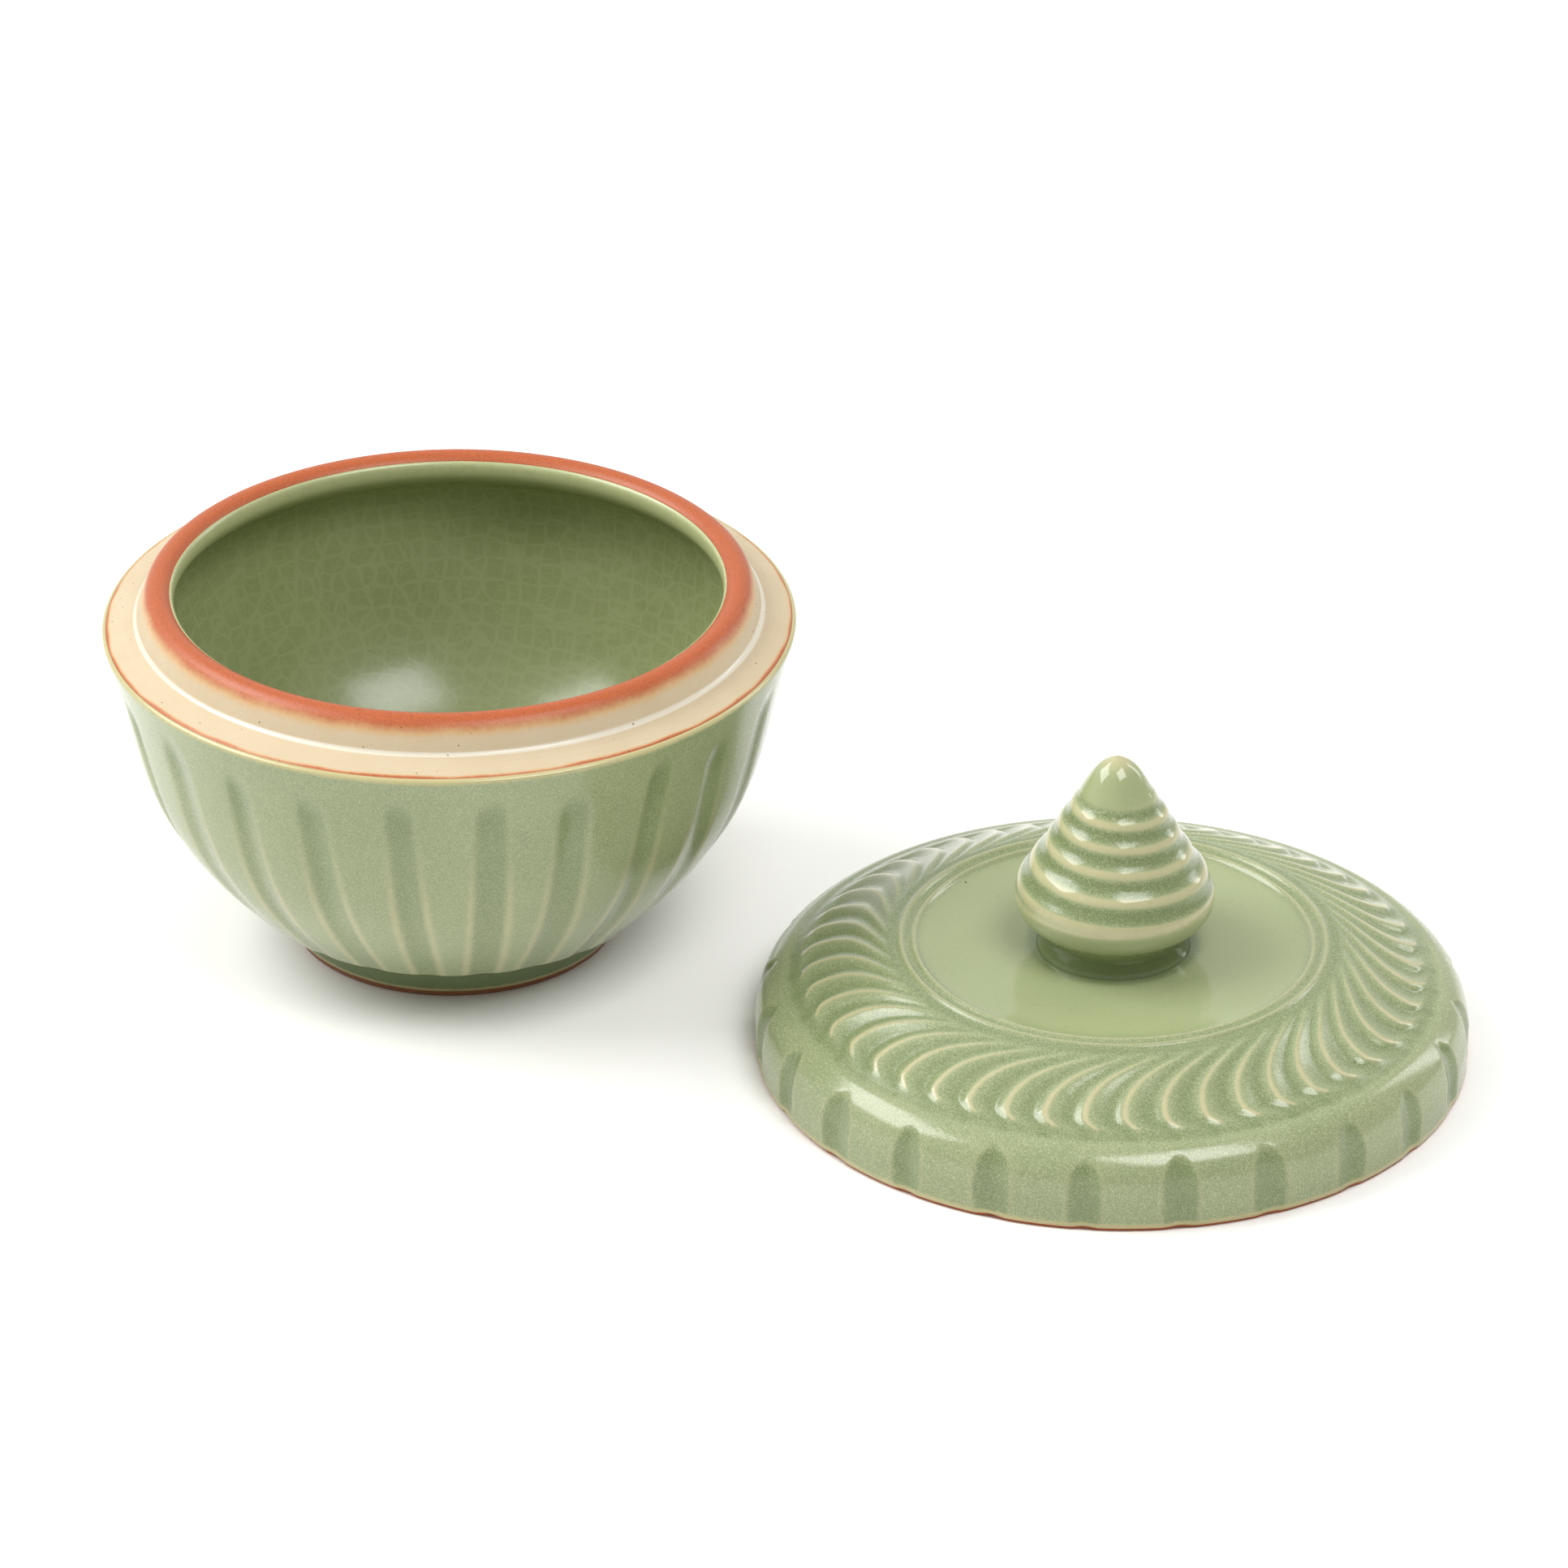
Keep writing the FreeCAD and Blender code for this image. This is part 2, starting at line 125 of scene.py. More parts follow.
# the foot's ring goes past 1: orange darkened to brown as painted shade
FOOT_FLASH_AND_SHADE = 1.6
FOOT_FLASH_AND_SHADE_HEIGHTS = (12.0, 10.0)
LID_FLASH = 0.9
LID_FLASH_RADII = (64.5, 66.5)
BARE_TOP = 60.0              # height above which the bowl's bare clay is its rim
RAGGED = [(0.06, 9, 1.0), (0.05, 23, 0.0), (0.04, 41, 2.0)]
SHEEN_LINE_WIDTH = 0.60             # of the glossy line, with a painted whitish sheen, where the neck meets the shoulder
SHEEN_LINE_WAVES = [(0.25, 1, 2.0), (0.08, 7, 0.0)]

# Lid
LID_RADIUS = 68.0
LID_BARE = 0.8
LID_WALL_TOP = 7.0
LID_SHOULDER = (66.3, 12.4)
BAND_OUTER = (61.6, 15.8)
BAND_MIDDLE = (53.0, 19.7)
BAND_INNER = (42.2, 23.2)
BAND_EDGE_POOL = 0.70        # in the corner between the swirl and the outer ring
BAND_EDGE_WIDTH = 1.1
RINGS = (40.4, 37.9)
RING_WIDTH = 1.1
RING_RISE = 0.6
RING_THIN = 0.42
RING_POOL = 0.45             # in the groove between the two
RING_GLAZE_WIDTH = 0.6
DISC = 22.5
DISC_RADIUS = 34.5
DISC_MOTTLE = 0.26
LID_MOTTLE = (0.40, 1.0)     # added off the disc, where the glaze is even and where it is deep
NECK_POOL_AND_SHADE = 0.85             # round the knob's neck: pooled glaze and painted shade
NECK_POOL_AND_SHADE_WIDTH = 1.6
RIM_FLAT = 64.4
SOCKET = 61.2
SOCKET_BARE = 3.0
RIM_SLOPE_TOP = 1.4
CEILING_POINTS = [(61.2, 8.5), (56.5, 14.0), (44.0, 17.3), (20.0, 17.9)]
CEILING = 18.0
THROWN_LINE = 6.3            # height of a fine raised line round the wall
THROWN_LINE_RISE = 0.05
THROWN_LINE_WIDTH = 0.35

RECESSES = 24
RECESS_HALF = 3.2            # degrees
RECESS_MIDDLE = 5.9
RECESS_HALF_HEIGHT = 8.0
RECESS_SQUARENESS = 3.5      # of its ends; 2 would be an ellipse
RECESS_DEPTH = 1.0
RECESS_SHALLOW = 0.4         # share of its depth that it keeps at the bare rim
RECESS_DEEP_FROM = 4.3
RECESS_EDGE = 1.05           # half widths from its middle to its edge
RECESS_EDGE_THIN = 0.32
RECESS_EDGE_WIDTH = 0.8
RECESS_POOL = 0.72
RECESS_POOL_HALVES = (1.2, 0.629)
RECESS_JITTER = {
    "centre": rng.uniform(-0.35, 0.35, RECESSES),
    "half": rng.uniform(0.85, 1.08, RECESSES),
    "height": rng.uniform(0.90, 1.04, RECESSES),
    "depth": rng.uniform(0.75, 1.0, RECESSES),
}

RIDGES = 48
SWIRL_DEPTH = 0.95
SWIRL_SWEEP = 20.0           # degrees by which a ridge turns on its way in
SWIRL_SWEEP_POWER = 3.3      # it turns more the nearer it is to the disc
SWIRL_BULGE = 1.6
SWIRL_STEEP = 0.34           # share of the pitch taken by a ridge's steep side
SWIRL_LOW = 0.08             # share of the depth by which a crest lies below the wall's outline
SWIRL_FLAT = 0.35            # share of its depth that the swirl keeps at its inner end
SWIRL_THIN = (1.0, 0.65)     # at its outer and its inner end, like the pool
SWIRL_THIN_WIDTHS = (0.85, 0.45)
SWIRL_POOL = (0.75, 0.40)
SWIRL_POOL_POWER = 1.6
TIP_CURL = 3.0               # degrees by which a ridge's outer end turns back
TIP_LENGTH = 4.0
TIP_RADIUS = 60.2
HEM_DEPTH = 0.42             # of the groove round the swirl, which its ridges rise out of
HEM_POOL = 0.45
HEM_POOL_RADIUS = TIP_RADIUS + 0.4
HEM_POOL_WIDTH = 1.3

# Knob
NECK = 14.1
NECK_TOP = 25.5
KNOB_TOP = 62.8
KNOB = [(3.4, 60.7), (6.0, 57.0), (9.9, 50.8), (14.4, 43.0), (18.5, 36.2), (19.0, 33.2)]
KNOB_UNDER = [(17.3, 29.5), (14.9, 27.4), (NECK, NECK_TOP)]
KNOB_TIP_THIN = 0.7
# pooled glaze and painted shade under the knob and down its neck
KNOB_UNDER_POOL_AND_SHADE = 0.95
SPIRAL_PITCH = 4.75
SPIRAL_TIGHTENING = 0.12
SPIRAL_CREST = 34.5
SPIRAL_DEPTH = 0.36
SPIRAL_ENDS = [(58.0, 51.4), (33.5, 36.5)]
SPIRAL_THIN = 0.72
SPIRAL_POOL = 0.85
SPIRAL_MOTTLE = 0.9
KNOB_MOTTLE = 0.2

# Camera, and soft boxes: each one's direction to the right, ahead and up, its distance, size and radiance
AZIMUTH = math.radians(21.5)
PITCH = math.radians(28.5)
RANGE = 1.4795
LENS = 177.7
LID_RIGHT = 0.0625           # where the lid's axis meets the table, from the middle of the picture
LID_BELOW = 0.0498
LIT_HEIGHT = 0.03
LIGHTS = {
    "window": ((-0.710, 0.080, 0.700), 1.35, (1.05, 0.70), 6.8),
    "overhead": ((0.307, -0.400, 0.865), 1.20, (0.66, 0.54), 7.2),
    "edge": ((0.780, 0.480, 0.400), 1.30, (0.22, 0.80), 4.5),
}
WORLD_BRIGHT = (-0.45, 0.85, 0.25)    # the direction where the surroundings are brightest
WORLD_FALL = {"From Min": -0.3, "From Max": 0.8, "To Min": 0.37, "To Max": 0.85}
FLOOR_SIDE = 3.0

# Outlines

def through(points, step=0.1):
    """Smooth path through a few outline points: a natural cubic over their chord length."""
    points = np.array(points, float)
    gaps = np.linalg.norm(np.diff(points, axis=0), axis=1)
    chord = np.concatenate([[0.0], np.cumsum(gaps)])
    last = len(points) - 1
    system = np.eye(last + 1)
    kinks = np.zeros((last + 1, 2))
    for k in range(1, last):
        system[k, k - 1:k + 2] = gaps[k - 1], 2 * (gaps[k - 1] + gaps[k]), gaps[k]
        slope_after = (points[k + 1] - points[k]) / gaps[k]
        slope_before = (points[k] - points[k - 1]) / gaps[k - 1]
        kinks[k] = 6 * (slope_after - slope_before)
    bend = np.linalg.solve(system, kinks)
    at = np.linspace(0.0, chord[-1], max(2, int(chord[-1] / step)))
    k = np.clip(np.searchsorted(chord, at, side="right") - 1, 0, last - 1)
    after = ((at - chord[k]) / gaps[k])[:, None]
    before = 1 - after
    gap = gaps[k][:, None]
    curve = (before**3 - before) * bend[k] + (after**3 - after) * bend[k + 1]
    return before * points[k] + after * points[k + 1] + curve * gap * gap / 6


def straight(points, step=0.1):
    """Path of straight runs between outline points."""
    points = np.array(points, float)
    chord = np.concatenate([[0.0], np.cumsum(np.linalg.norm(np.diff(points, axis=0), axis=1))])
    at = np.linspace(0.0, chord[-1], max(2, int(chord[-1] / step)))
    return np.stack([np.interp(at, chord, points[:, 0]), np.interp(at, chord, points[:, 1])], axis=1)


def arc(start, middle, end, step=0.1):
    """Circular path through three outline points."""
    (ax, ay), (bx, by), (cx, cy) = start, middle, end
    d = 2 * (ax * (by - cy) + bx * (cy - ay) + cx * (ay - by))
    a2, b2, c2 = ax * ax + ay * ay, bx * bx + by * by, cx * cx + cy * cy
    centre = np.array([
        (a2 * (by - cy) + b2 * (cy - ay) + c2 * (ay - by)) / d,
        (a2 * (cx - bx) + b2 * (ax - cx) + c2 * (bx - ax)) / d,
    ])
    radius = math.hypot(ax - centre[0], ay - centre[1])
    turns = [math.atan2(y - centre[1], x - centre[0]) for x, y in (start, middle, end)]
    turns = np.unwrap(turns)
    angles = np.linspace(turns[0], turns[2], max(3, int(radius * abs(turns[2] - turns[0]) / step)))
    return centre + radius * np.stack([np.cos(angles), np.sin(angles)], axis=1)


def resample(path, spacing):
    """Rows along a path, spacing apart; spacing may be an array with a value for each point of the path."""
    spacing = np.broadcast_to(np.asarray(spacing, float), len(path))
    steps = np.linalg.norm(np.diff(path, axis=0), axis=1) / ((spacing[1:] + spacing[:-1]) / 2)
    count = np.concatenate([[0.0], np.cumsum(steps)])
    at = np.linspace(0.0, count[-1], max(4, int(round(count[-1])) + 1))
    return np.stack([np.interp(at, count, path[:, 0]), np.interp(at, count, path[:, 1])], axis=1)


def soften(path, width, step=0.1):
    """The path with its corners rounded over about this width, and its ends where they were."""
    path = resample(path, step)
    reach = int(3 * width / step)
    before = 2 * path[0] - path[reach:0:-1]
    after = 2 * path[-1] - path[-2:-reach - 2:-1]
    padded = np.concatenate([before, path, after])
    weights = np.exp(-0.5 * (np.arange(-reach, reach + 1) * step / width) ** 2)
    weights /= weights.sum()
    return np.stack([np.convolve(padded[:, k], weights, mode="valid") for k in (0, 1)], axis=1)


def inward_of(path, closed):
    """Unit directions into the clay along a path."""
    if closed:
        along = np.roll(path, -1, axis=0) - np.roll(path, 1, axis=0)
    else:
        along = np.gradient(path, axis=0)
    along /= np.maximum(np.linalg.norm(along, axis=1), 1e-9)[:, None]
    return np.stack([along[:, 1], -along[:, 0]], axis=1)


def offset(path, depth):
    """The path pushed into the clay; a negative depth stands proud."""
    moved = path + inward_of(path, closed=False) * depth
    moved[:, 0] = np.maximum(moved[:, 0], 0.0)
    return moved


# Meshes

def lathe(name, path, columns, axis_x, relief, fields, closed=True):
    """Mesh of a path turned about the vertical line at axis_x, pushed into the clay by relief.

    relief, which may be None, and each of fields take the radius, height and angle in degrees of every
    point; fields become point attributes. An open path starts and ends on the axis.
    """
    rows = len(path)
    inward = inward_of(path, closed)
    angle = np.arange(columns) * 360.0 / columns
    radius = np.repeat(path[:, :1], columns, axis=1)
    height = np.repeat(path[:, 1:], columns, axis=1)
    turn = np.repeat(angle[None, :], rows, axis=0)
    push = relief(radius, height, turn) if relief else np.zeros_like(radius)
    reach = np.maximum(radius + inward[:, :1] * push, 0.0)
    level = height + inward[:, 1:] * push
    radians = np.radians(turn)
    points = np.stack([reach * np.cos(radians) + axis_x, reach * np.sin(radians), level], axis=2) * MM
    grid = np.arange(rows * columns).reshape(rows, columns)
    values = {key: make(radius, height, turn) for key, make in fields.items()}
    if closed:
        upper, lower = grid, np.roll(grid, -1, axis=0)
        caps = np.zeros((0, 3), int)
    else:
        points[0, :] = points[0].mean(axis=0)
        points[-1, :] = points[-1].mean(axis=0)
        upper, lower = grid[1:-2], grid[2:-1]
        caps = np.concatenate([
            np.stack([np.full(columns, grid[0, 0]), grid[1], np.roll(grid[1], -1)], axis=1),
            np.stack([np.roll(grid[-2], -1), grid[-2], np.full(columns, grid[-1, 0])], axis=1),
        ])
    quads = np.stack([upper, lower, np.roll(lower, -1, axis=1), np.roll(upper, -1, axis=1)], axis=2)
    return build(name, points.reshape(-1, 3), quads.reshape(-1, 4), caps, values)


def build(name, points, quads, triangles, values):
    """Object from arrays of points and faces, without its unused points, shaded smooth."""
    used = np.unique(np.concatenate([quads.ravel(), triangles.ravel()]))
    number = np.full(len(points), -1)
    number[used] = np.arange(len(used))
    corners = np.concatenate([number[quads].ravel(), number[triangles].ravel()])
    starts = np.concatenate([np.arange(len(quads)) * 4, len(quads) * 4 + np.arange(len(triangles)) * 3])
    mesh = bpy.data.meshes.new(name)
    mesh.vertices.add(len(used))
    mesh.vertices.foreach_set("co", points[used].astype(np.float32).ravel())
    mesh.loops.add(len(corners))
    mesh.loops.foreach_set("vertex_index", corners.astype(np.int32))
    mesh.polygons.add(len(starts))
    mesh.polygons.foreach_set("loop_start", starts.astype(np.int32))
    mesh.polygons.foreach_set("use_smooth", np.ones(len(starts), bool))
    mesh.update(calc_edges=True)
    mesh.validate()
    for key, value in values.items():
        attribute = mesh.attributes.new(key, "FLOAT", "POINT")
        attribute.data.foreach_set("value", value.reshape(-1)[used].astype(np.float32))
    obj = bpy.data.objects.new(name, mesh)
    bpy.context.scene.collection.objects.link(obj)
    return obj


def ease(value):
    """0 below 0, 1 above 1, and smooth between."""
    value = np.clip(value, 0.0, 1.0)
    return value * value * (3.0 - 2.0 * value)


def ramp(value, start, end):
    """0 on start's side, 1 on end's side, and smooth between them."""
    return ease((value - start) / (end - start))


def bell(distance, width):
    """1 where distance is 0, falling off over about width on both sides."""
    return np.exp(-(distance / width) ** 2)


def blend(start, end, share):
    """start where share is 0, end where it is 1."""
    return start + (end - start) * share


def scoop(across, reach, power):
    """Section of a groove: 1 along its middle, 0 from reach on."""
    return np.cos(np.minimum(np.abs(across) / reach, 1.0) * math.pi / 2) ** power


def arc_length(degrees, radius):
    return np.radians(degrees) * radius


def waves(angle, terms):
    """Sum of sine waves round the axis, each with its amplitude, count and phase."""
    turn = np.radians(angle)
    return sum(amplitude * np.sin(count * turn + phase) for amplitude, count, phase in terms)


def nearest(angle, pitch, jitter):
    """Which of the repeats round the axis each angle is in, and how far it is from that one's middle."""
    which = np.round(angle / pitch).astype(int) % len(jitter["centre"])
    across = (angle + pitch / 2) % pitch - pitch / 2
    return which, across - jitter["centre"][which]


def constant(value):
    """A field that is the same all over."""
    return lambda radius, height, angle: np.full_like(radius, value)


def wobble(radius, height, angle):
    """Slow unevenness of a thrown wall."""
    terms = [(1.0, 2, 0.6), (0.6, 3, height / 23.0), (0.4, 5, -height / 17.0)]
    return WOBBLE * waves(angle, terms) * ramp(radius, 0.0, 15.0)


def carved_front(carving, rows):
    """The carving on an outline's first rows only, which are the seen ones."""
    def relief(radius, height, angle):
        push = carving(radius, height, angle)
        push[rows:] = 0.0
        return push
    return relief


# Bowl

def flute_place(radius, height, angle):
    """Across a flute from -1 to 1, its half width in degrees, its length's envelope and its number."""
    which, across = nearest(angle, FLUTE_PITCH, FLUTE_JITTER)
    across = across - FLUTE_JITTER["slant"][which] * (height - FLUTE_UPRIGHT)
    down = np.clip((SHOULDER[1] - height) / (SHOULDER[1] - LEDGE[1]), 0.0, 1.0)
    top = FLUTE_TOP + FLUTE_JITTER["top"][which]
    full = blend(FLUTE_HALF_TOP, FLUTE_HALF_LEDGE, down) * FLUTE_JITTER["half"][which]
    half = full * blend(FLUTE_TIP, 1.0, np.sqrt(ramp(height, top, top - FLUTE_WIDENING)))
    length = ramp(height, top, top - FLUTE_RUN_IN) * ramp(radius, FLUTE_FADE, LEDGE[0])
    return across / half, half, length, which


def flute_relief(radius, height, angle):
    across, _, length, which = flute_place(radius, height, angle)
    kept = blend(FLUTE_SHALLOW, 1.0, ramp(height, LEDGE[1], FLUTE_DEEP_FROM))
    depth = FLUTE_DEPTH * FLUTE_JITTER["depth"][which] * kept
    return depth * scoop(across, FLUTE_REACH, 2) * length + wobble(radius, height, angle)


def flute_thin(radius, height, angle):
    """Thin on the ledge's edge and along both edges of a flute, there more so further down."""
    across, half, length, _ = flute_place(radius, height, angle)
    gap = arc_length((np.abs(across) - FLUTE_EDGE) * half, radius)
    amount = blend(*FLUTE_EDGE_THIN, ramp(height, *FLUTE_EDGE_HEIGHTS))
    line = amount * bell(gap, FLUTE_EDGE_WIDTH) * length
    ledge = LEDGE_THIN * bell(np.hypot(radius - LEDGE[0], height - LEDGE[1]), LEDGE_THIN_WIDTH)
    return np.maximum(line, ledge)


def flute_pool_and_shade(radius, height, angle):
    """Deep in the flutes, most of all near their tops, and under the ledge, where the darkening is partly
    painted shade.
    """
    across, _, length, _ = flute_place(radius, height, angle)
    top = bell(height - FLUTE_POOL_TOP, FLUTE_POOL_HEIGHT)
    flute = FLUTE_POOL * (1.0 + top) * ramp(np.abs(across), *FLUTE_POOL_HALVES) * length
    # under the ledge: pooled glaze and painted shade
    foot = ramp(height, LEDGE[1] + 0.8, LEDGE[1] - 0.8) * ramp(radius, LEDGE[0], LEDGE[0] - 1.5)
    return np.maximum(flute, foot)


def flute_mottle(radius, height, angle):
    return WALL_MOTTLE + FLUTE_MOTTLE * flute_pool_and_shade(radius, height, angle) * (height > LEDGE[1])


def wall_edge(radius, height, angle):
    """About how many millimetres it is to where the glaze ends, at the shoulder or above the foot."""
    shoulder = np.hypot(radius - SHOULDER[0] + 0.5, height - SHOULDER_TOP)
    foot = 1.5 * np.abs(height - FOOT_BARE)
    return np.minimum(shoulder, foot)


def bowl_wall_path():
    """The glazed outside: it starts on top of the shoulder's rounded edge."""
    edge = straight([(SHOULDER[0] - 0.8, SHOULDER_TOP + 0.1), (SHOULDER[0], SHOULDER_TOP - 0.2), SHOULDER])
    wall = through([SHOULDER] + WALL + [LEDGE])
    rest = straight([LEDGE, FOOT_ROOT, (FOOT_RADIUS, FOOT_BARE)])
    return soften(np.concatenate([edge, wall[1:], rest[1:]]), width=0.4)


def make_bowl_outside():
    path = bowl_wall_path()
    near_ledge = np.hypot(path[:, 0] - LEDGE[0], path[:, 1] - LEDGE[1]) < 3.0
    near_shoulder = path[:, 1] > SHOULDER[1] - 1.8
    rows = resample(path, spacing=np.select([near_ledge, near_shoulder], [0.45, 0.3], 0.95))
    back = resample(offset(path, HIDDEN), spacing=6.0)[::-1]
    back[-1] = (SHOULDER[0] - HIDDEN, SHOULDER[1] - 0.6)
    relief = carved_front(flute_relief, len(rows))
    fields = {"thin": flute_thin, "pool_and_shade": flute_pool_and_shade, "mottle": flute_mottle, "edge": wall_edge}
    return lathe("bowl_celadon_outside", np.concatenate([rows, back]), 900, BOWL_AXIS, relief, fields)


def bowl_inside_path():
    return through([(0.0, FLOOR)] + INSIDE + [MOUTH])


def make_bowl_inside():
    """Glaze inside the bowl: its seen side runs from the mouth down to the floor's middle."""
    clay = bowl_inside_path()
    seen = offset(clay, -COAT)[::-1]
    seen[0] = (MOUTH[0] - 0.12, MOUTH[1] - 0.05)
    seen = soften(seen, width=0.5)
    seen[-1, 0] = 0.0
    back = resample(offset(clay, SUNK), spacing=3.0)
    back[0, 0] = 0.0
    path = np.concatenate([back, resample(seen, spacing=0.7)])

    def down(radius, height, angle):
        return (MOUTH[1] - height) / (MOUTH[1] - FLOOR)

    return lathe("bowl_celadon_inside", path, 360, BOWL_AXIS, None, {"down": down}, closed=False)


def bowl_flash_and_shade(radius, height, angle):
    """How orange the bare clay is: the lip, the edge of the shoulder and the foot's ring, which goes past 1
    into a painted shade of brown.
    """
    ragged = waves(angle, RAGGED)
    outer, inner = LIP_FLASH_RADII
    low, high = LIP_FLASH_HEIGHTS
    outward = np.clip((radius - ragged - outer) / (inner - outer), 0.0, 1.0)
    lip = outward * np.clip((height - low) / (high - low), 0.0, 1.0)
    edge = SHOULDER_FLASH * ramp(radius + 1.5 * ragged, *SHOULDER_FLASH_RADII) * (height > BARE_TOP)
    # past 1 on the foot's ring: a painted shade of brown
    foot = FOOT_FLASH_AND_SHADE * ramp(height, *FOOT_FLASH_AND_SHADE_HEIGHTS)
    return np.max([lip, edge, foot], axis=0)


def bowl_corner(radius, height, angle):
    """The glossy line in the corner between shoulder and neck, with a painted whitish sheen, 0 to 1."""
    gap = np.hypot(radius - NECK_ROOT[0] - 0.1, height - NECK_ROOT[1])
    return bell(gap, SHEEN_LINE_WIDTH + waves(angle, SHEEN_LINE_WAVES))


def throwing_lines(radius, height, angle):
    """A length that changes all the way along the bare outline, for the noise that draws its lines."""
    return height * 1.6 - radius


def make_bowl_clay():
    shoulder = [(SHOULDER[0] - 0.75, SHOULDER_TOP - 0.5), (SHOULDER[0] - 0.75, SHOULDER_TOP + 0.2)]
    top = straight(shoulder + [NECK_ROOT, LIP_OUTER])
    lip = arc(LIP_OUTER, LIP_TOP, MOUTH)
    rim = soften(np.concatenate([top, lip[1:]]), width=0.4)
    inside = resample(bowl_inside_path(), spacing=3.0)
    inside[0, 0] = 0.0
    hidden = resample(offset(bowl_wall_path(), CLAY_HIDDEN), spacing=4.0)
    bare = FOOT_RADIUS - COAT
    foot = soften(straight([
        (bare, FOOT_BARE + 0.3),
        (bare, 0.4),
        (bare - 0.5, 0.0),
        (WELL_MOUTH + 0.5, 0.0),
        (WELL_MOUTH, 0.5),
        (WELL_MOUTH - 0.1, FOOT_BARE + 0.2),
    ]), width=0.15)
    well = straight([(WELL_MOUTH - 0.1, FOOT_BARE + 0.3), (WELL_RADIUS, WELL_DEPTH), (0.0, WELL_DEPTH)])
    path = np.concatenate([
        inside,
        resample(rim[::-1], spacing=0.22),
        hidden,
        resample(foot, spacing=0.25),
        resample(well, spacing=3.0),
    ])

    def relief(radius, height, angle):
        return wobble(radius, height, angle) * (height > BARE_TOP)

    fields = {"flash_and_shade": bowl_flash_and_shade, "ringed": throwing_lines, "corner": bowl_corner}
    return lathe("bowl_clay", path, 480, BOWL_AXIS, relief, fields, closed=False)


def make_foot_well():
    deep = WELL_DEPTH - COAT
    surface = straight([(WELL_MOUTH - COAT, FOOT_BARE), (WELL_RADIUS - COAT, deep), (0.0, deep)])
    seen = soften(surface, width=0.6)
    seen[-1, 0] = 0.0
    clay = straight([(0.0, WELL_DEPTH), (WELL_RADIUS, WELL_DEPTH), (WELL_MOUTH, FOOT_BARE)])
    path = np.concatenate([resample(clay, spacing=3.0), resample(seen, spacing=0.8)])
    fields = {"thin": constant(0.0), "pool_and_shade": constant(0.45), "mottle": constant(0.6), "edge": constant(EVEN)}
    return lathe("foot_well_celadon", path, 240, BOWL_AXIS, None, fields, closed=False)


# Lid

def recess_place(radius, height, angle):
    """Degrees from a recess's middle, its half width there, its share of its full width and its number."""
    which, across = nearest(angle, 360.0 / RECESSES, RECESS_JITTER)
    tall = RECESS_HALF_HEIGHT * RECESS_JITTER["height"][which]
    end = np.abs((height - RECESS_MIDDLE) / tall) ** RECESS_SQUARENESS
    width = np.maximum(0.0, 1.0 - end)
    half = RECESS_HALF * RECESS_JITTER["half"][which] * np.sqrt(width)
    return across, half, width, which


def swirl_place(radius, angle):
    """Place across a ridge from its crest, 0 to 1, and its share of the way in."""
    inward = np.clip((BAND_OUTER[0] - radius) / (BAND_OUTER[0] - BAND_INNER[0]), 0.0, 1.0)
    crest = SWIRL_SWEEP * inward ** SWIRL_SWEEP_POWER - SWIRL_BULGE * np.sin(math.pi * inward)
    crest = crest + TIP_CURL * ramp(radius, TIP_RADIUS - TIP_LENGTH, TIP_RADIUS + 0.5) ** 2
    return (angle - crest) * RIDGES / 360.0 % 1.0, inward


def swirl_height(radius, angle):
    """Depth below the crest, 0 to 1, the envelope along the ridge and its share of the way in."""
    phase, inward = swirl_place(radius, angle)
    gentle = 1.0 - SWIRL_STEEP
    slow = 0.5 - 0.5 * np.cos(math.pi * np.minimum(phase / gentle, 1.0))
    fast = 0.5 + 0.5 * np.cos(math.pi * np.clip((phase - gentle) / SWIRL_STEEP, 0.0, 1.0))
    return np.where(phase < gentle, slow, fast), ramp(inward, 1.0, 0.88), inward


def lid_relief(radius, height, angle):
    """Recesses in the wall, the swirl's ridges in their hem, the two raised rings and the thrown line."""
    across, half, width, which = recess_place(radius, height, angle)
    kept = blend(RECESS_SHALLOW, 1.0, ramp(height, LID_BARE, RECESS_DEEP_FROM))
    section = scoop(across, np.maximum(half, 1e-3), 1.5)
    recess = RECESS_DEPTH * RECESS_JITTER["depth"][which] * section * np.sqrt(width) * kept
    depth, ends, inward = swirl_height(radius, angle)
    on_band = (radius < BAND_OUTER[0] + 1.6) * (radius > BAND_INNER[0])
    ridges = SWIRL_DEPTH * blend(SWIRL_LOW, 1.0, depth) * blend(1.0, SWIRL_FLAT, inward) * ends
    hem = HEM_DEPTH * ramp(radius, BAND_OUTER[0] + 1.5, BAND_OUTER[0] - 0.1)
    swirl = blend(hem, ridges, ramp(radius, TIP_RADIUS + 0.2, TIP_RADIUS - 2.6)) * on_band
    line = THROWN_LINE_RISE * bell(height - THROWN_LINE, THROWN_LINE_WIDTH)
    rings = RING_RISE * sum(ramp(np.abs(radius - crest), RING_WIDTH, 0.0) for crest in RINGS)
    return recess + swirl - line - rings + LID_WOBBLE * wobble(radius, height, angle)


